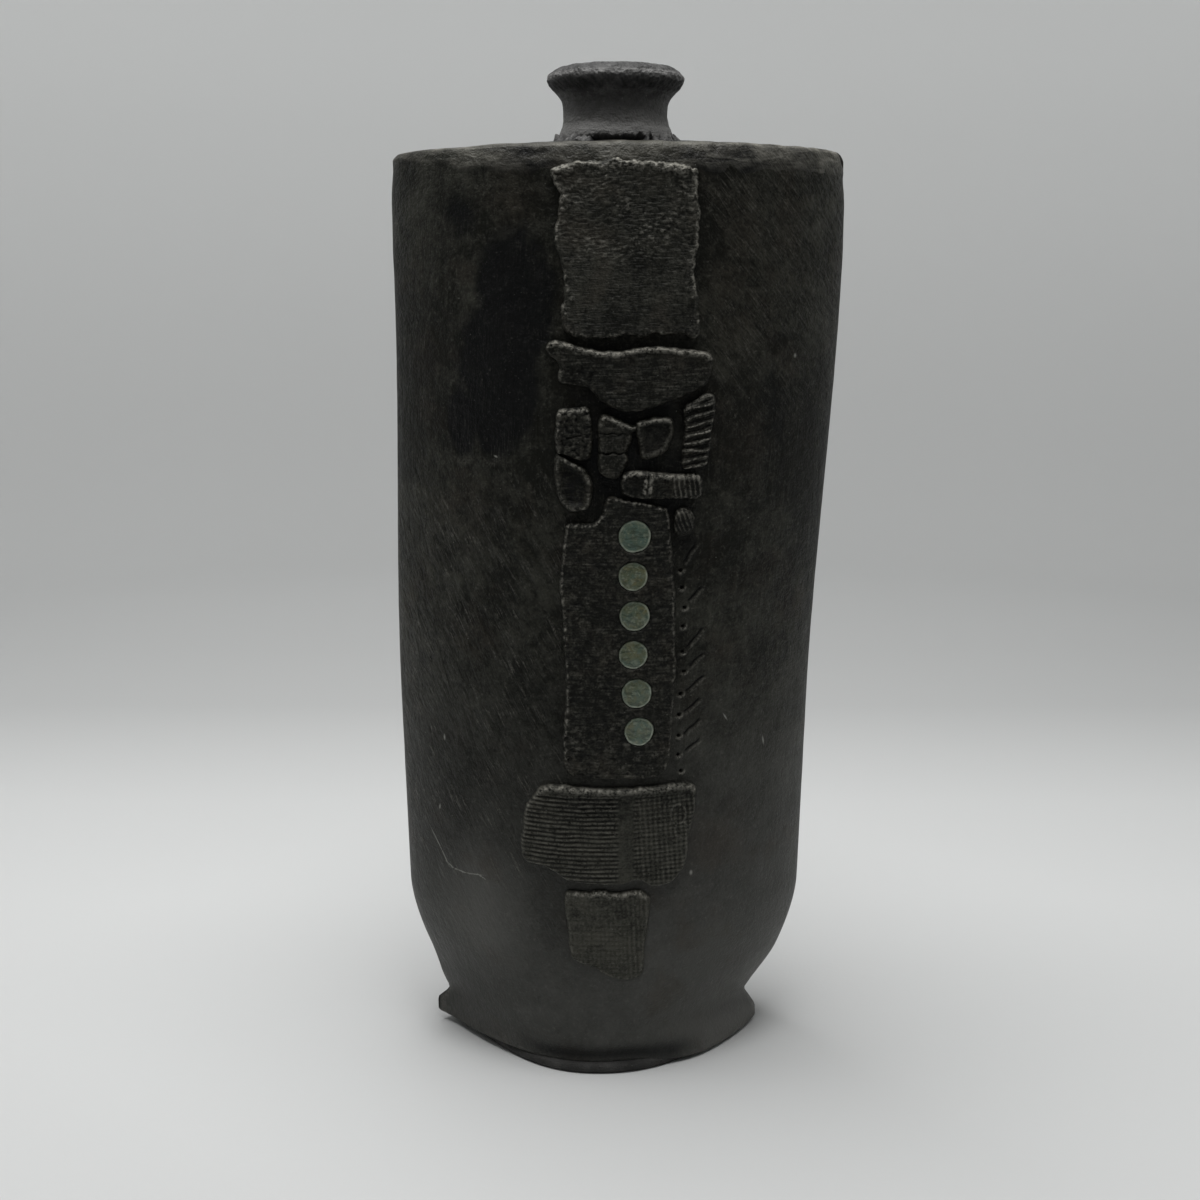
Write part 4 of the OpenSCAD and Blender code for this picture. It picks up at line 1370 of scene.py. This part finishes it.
patch("lobed_tile", "tile_centre", lobed_relief, patch_clay, 0.25, 340, [
    (0.5, 19.5), (1.5, 21), (5, 20), (8.5, 18), (11.5, 17), (13.4, 17.6), (13, 16), (10.8, 14.8),
    (11, 12), (9, 8.5), (10, 6.5), (8.5, 3), (7, 0), (3.5, 0), (0.5, 1.5), (0, 5), (0.5, 11),
    (0, 16),
])
patch("square_tile", "tile_square", square_relief, patch_clay, 0.25, 350, [
    (0, 12), (1, 12.5), (5, 13.5), (9.5, 14), (12.5, 13), (12.5, 9), (11.5, 6), (10.5, 3), (7, 1),
    (3, 0), (1.5, 1), (1, 6), (0, 9.5),
])
patch("slanted_tile", "tile_ribbed", slanted_relief, patch_clay, 0.25, 360, [
    (0, 21), (4.5, 22.5), (6.5, 24.5), (10.5, 25), (11, 20.5), (10.5, 16.5), (9.5, 12.5), (9.5, 8),
    (8.5, 4), (8, 1), (4.5, 0.5), (0.5, 0), (0, 2), (0.5, 8.5), (1, 14.5),
])
patch("ribbed_strip", "ribbed_bar", bar_relief, patch_clay, 0.25, 370, [
    (1, 9.5), (6, 9.5), (12, 9), (18.5, 8), (26, 8.5), (27.5, 6), (27.5, 2.5), (26.5, 0),
    (18.5, 0.5), (12.5, 0.5), (6, 0.5), (0.5, 2), (0, 5),
])
patch("ribbed_pellet", "pellet", pellet_relief, patch_clay, 0.1, 380, [
    (0.5, 8), (3, 9.5), (5.5, 9), (7.2, 5.5), (7, 2.5), (4.5, 0), (1, 0), (0, 3),
])
patch("socket_panel", "notched_panel", panel_relief, patch_clay, 0.3, 390, [
    (16.5, 99), (21, 97.5), (28, 96.5), (34, 95), (36.5, 93.5), (37, 87.5), (37.5, 80.5),
    (38.5, 71.5), (39, 61.5), (39, 48.5), (39.5, 40.5), (39, 32), (38.5, 20), (38, 11.5),
    (37.5, 5.5), (35, 0.5), (28.5, 0), (17, 0.3), (2.5, 0), (1, 10), (1.5, 20.5), (2.5, 29),
    (2, 39), (1.5, 51), (1, 64), (0, 67), (1, 76), (2, 87), (2.5, 89), (6.5, 89.5), (10, 89),
    (13, 90), (14.5, 92.5), (15.5, 96),
])
patch("combed_patch", "combed_band", comb_relief, band_clay, 0.3, 400, [
    (8, 38.5), (19, 38), (29, 37.5), (39, 37.5), (49.5, 38), (58, 38.5), (62, 36.5), (61.5, 32.5),
    (61.5, 27), (59.5, 20.5), (59, 15), (58.5, 8.5), (56, 4), (52.5, 1), (46, 0.5), (42.5, 4),
    (37, 2), (29, 2), (22, 2.5), (16.5, 3), (13.5, 5.5), (8.5, 8.5), (3, 9), (0.5, 11), (0.5, 17.5),
    (1.5, 23), (2, 29.5), (5, 34),
])
patch("cloth_tab", "lower_tab", tab_relief, band_clay, 0.25, 410, [
    (0, 33), (2, 35), (9.5, 34), (10.5, 35), (14.5, 35), (15.5, 34), (21.5, 34), (23, 35),
    (28, 34.5), (30.5, 31.5), (30, 28), (29.5, 21), (28.5, 14), (28, 8.5), (28, 2.5), (25.5, 0.5),
    (20, 0.5), (14.5, 2.5), (11, 5.5), (3, 8), (2, 12), (1.5, 20), (0.5, 28.5),
])

# ---- glaze


def glaze_dot(number, spot, radius, blue):
    """A slightly uneven pool of glaze in its socket."""
    part = np.linspace(0.02, 1, DOT_RINGS)
    part, turn = np.meshgrid(part, full_turn(DOT_AROUND), indexing="ij")
    ring = (2 * np.cos(turn) + number, 2 * np.sin(turn))
    wobble = 1 + 0.03 * fractal(*ring, 1.6, 500 + number, 3)
    reach = radius * wobble * part
    x = spot[0] + reach * np.cos(turn)
    z = spot[1] + reach * np.sin(turn)
    height = GLAZE_TOP + 0.1 * (1 - part**2) + 0.05 * noise(x / 2, z / 2, 510 + number)
    height -= 0.3 * ramp(part, 0.95, 1)
    top = front_point(x, z, height)
    under = front_point(x[-1], z[-1], np.full(DOT_AROUND, GLAZE_UNDER))
    points = np.concatenate([top.reshape(-1, 3), under])
    faces = capped_faces(DOT_RINGS + 1, DOT_AROUND)
    # The pale edge is strongest on each pool's lower side, a painted highlight where the rim faces
    # upwards
    lower = 0.4 + 0.6 * smooth(0.5 + 0.8 * (0.55 * np.cos(turn) - 0.83 * np.sin(turn)))
    patchy = 0.75 + 0.7 * noise(3 * np.cos(turn) + number, 3 * np.sin(turn), 520 + number)
    wear_and_highlight = np.append(ramp(part, 0.84, 0.92) * lower * patchy, np.zeros(DOT_AROUND))
    return piece(
        f"glaze_pool_{number + 1}", [f"glaze_dot_{number + 1}"], points, faces,
        glaze_finish(f"green_glaze_{number + 1}", blue), wear_and_highlight,
    )


for number, dot in enumerate(zip(DOT_SPOTS, DOT_RADII, DOT_BLUES)):
    glaze_dot(number, *dot)

for coil in ("left_seam_coil", "right_seam_coil", "base_seam_coil"):
    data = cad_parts[coil].data
    data.materials.clear()
    data.materials.append(inside_clay)

# ---- studio

# The paper in metres: flat floor's radius, radius of its bend, top of its wall
FLOOR_R = 0.95
BEND_R = 0.45
PAPER_TOP = 1.5
PAPER_AROUND = 96
HIGH_PAPER = (0.96, 0.97, 0.965)

# Paleness of the paper from front to back: y in mm, reflectance. It is painted light and shade:
# dark behind the camera as painted room shade, and greyer behind the object, where less light
# falls.
PAPER = [
    (-700, 0.1), (-330, 0.44), (-230, 0.65), (120, 0.69), (250, 0.66), (340, 0.6), (440, 0.53),
    (600, 0.53), (900, 0.57), (1400, 0.63),
]


def studio(name):
    """A pale floor that curves up all round into a low wall, open above."""
    bend = np.radians(np.linspace(0, 90, 17))
    radius = np.concatenate([[0.001, 0.3, 0.6], FLOOR_R + BEND_R * np.sin(bend)])
    z = np.concatenate([[0, 0, 0], BEND_R * (1 - np.cos(bend))])
    radius = np.append(radius, FLOOR_R + BEND_R)
    z = np.append(z, PAPER_TOP)
    radius, turn = np.meshgrid(radius, full_turn(PAPER_AROUND), indexing="ij")
    z = np.broadcast_to(z[:, None], turn.shape)
    points = np.stack([radius * np.cos(turn), radius * np.sin(turn), z], axis=-1)
    mesh = bpy.data.meshes.new(name)
    faces = grid_faces(*turn.shape, round_cols=True)
    mesh.from_pydata(points.reshape(-1, 3).tolist(), [], faces)
    mesh.shade_smooth()
    f = Finish("pale_paper")
    first, last = PAPER[0][0], PAPER[-1][0]
    part = f.times(f.plus(f.y, -first), 1 / (last - first))
    shade = f.node("ValToRGB", {0: part})
    stops = shade.color_ramp.elements
    while len(stops) < len(PAPER):
        stops.new(0.5)
    for stop, (y, level) in zip(stops, PAPER):
        stop.position = (y - first) / (last - first)
        stop.color = (level * 0.99, level, level * 0.995, 1)
    # Painted light: the upper part of the back wall, which the lamp lights less, is painted paler
    higher = f.times(f.step(f.z, 60, 620), f.step(f.y, 300, 900), 0.7)
    colour = f.blend(higher, shade.outputs[0], HIGH_PAPER)
    colour = f.blend(f.times(f.noise(300, 2), 0.04), colour, (1, 1, 1))
    mesh.materials.append(f.surface(colour, 0.9, f.bump(f.noise(2, 2), 0.05), 0.2))
    added(name, mesh)


def soft_light(name, place, aim, size, watts):
    """A rectangular light at a place, turned to shine at aim."""
    lamp = bpy.data.lights.new(name, "AREA")
    lamp.shape = "RECTANGLE"
    lamp.size, lamp.size_y = size
    lamp.energy = watts
    made = added(name, lamp)
    made.location = place
    direction = Vector(aim) - Vector(place)
    made.rotation_euler = direction.to_track_quat("-Z", "Y").to_euler()


# Light and camera: places and sizes in metres, lens and sensor in mm, tilt in degrees
LIGHT_PLACE = (-0.08, -0.07, 1.3)
LIGHT_AIM = (-0.02, 0.0, 0.0)
LIGHT_SIZE = (1.0, 0.75)
LIGHT_WATTS = 16
ROOM_COLOUR = (0.98, 1.0, 0.99, 1)
ROOM_STRENGTH = 0.2
CAMERA_PLACE = (0.00065, -0.552, 0.286)
CAMERA_TILT = 12.17
LENS = 46.14
SENSOR = 36

studio("paper_studio")
soft_light("overhead", LIGHT_PLACE, LIGHT_AIM, LIGHT_SIZE, LIGHT_WATTS)

world = bpy.data.worlds.new("soft_room")
bpy.context.scene.world = world
world.use_nodes = True
background = world.node_tree.nodes["Background"]
background.inputs["Color"].default_value = ROOM_COLOUR
background.inputs["Strength"].default_value = ROOM_STRENGTH

camera = bpy.data.cameras.new("camera")
camera.lens = LENS
camera.sensor_width = SENSOR
viewer = added("camera", camera)
viewer.location = CAMERA_PLACE
viewer.rotation_euler = (math.radians(90 - CAMERA_TILT), 0, 0)
bpy.context.scene.camera = viewer
bpy.context.scene.view_settings.view_transform = "Standard"
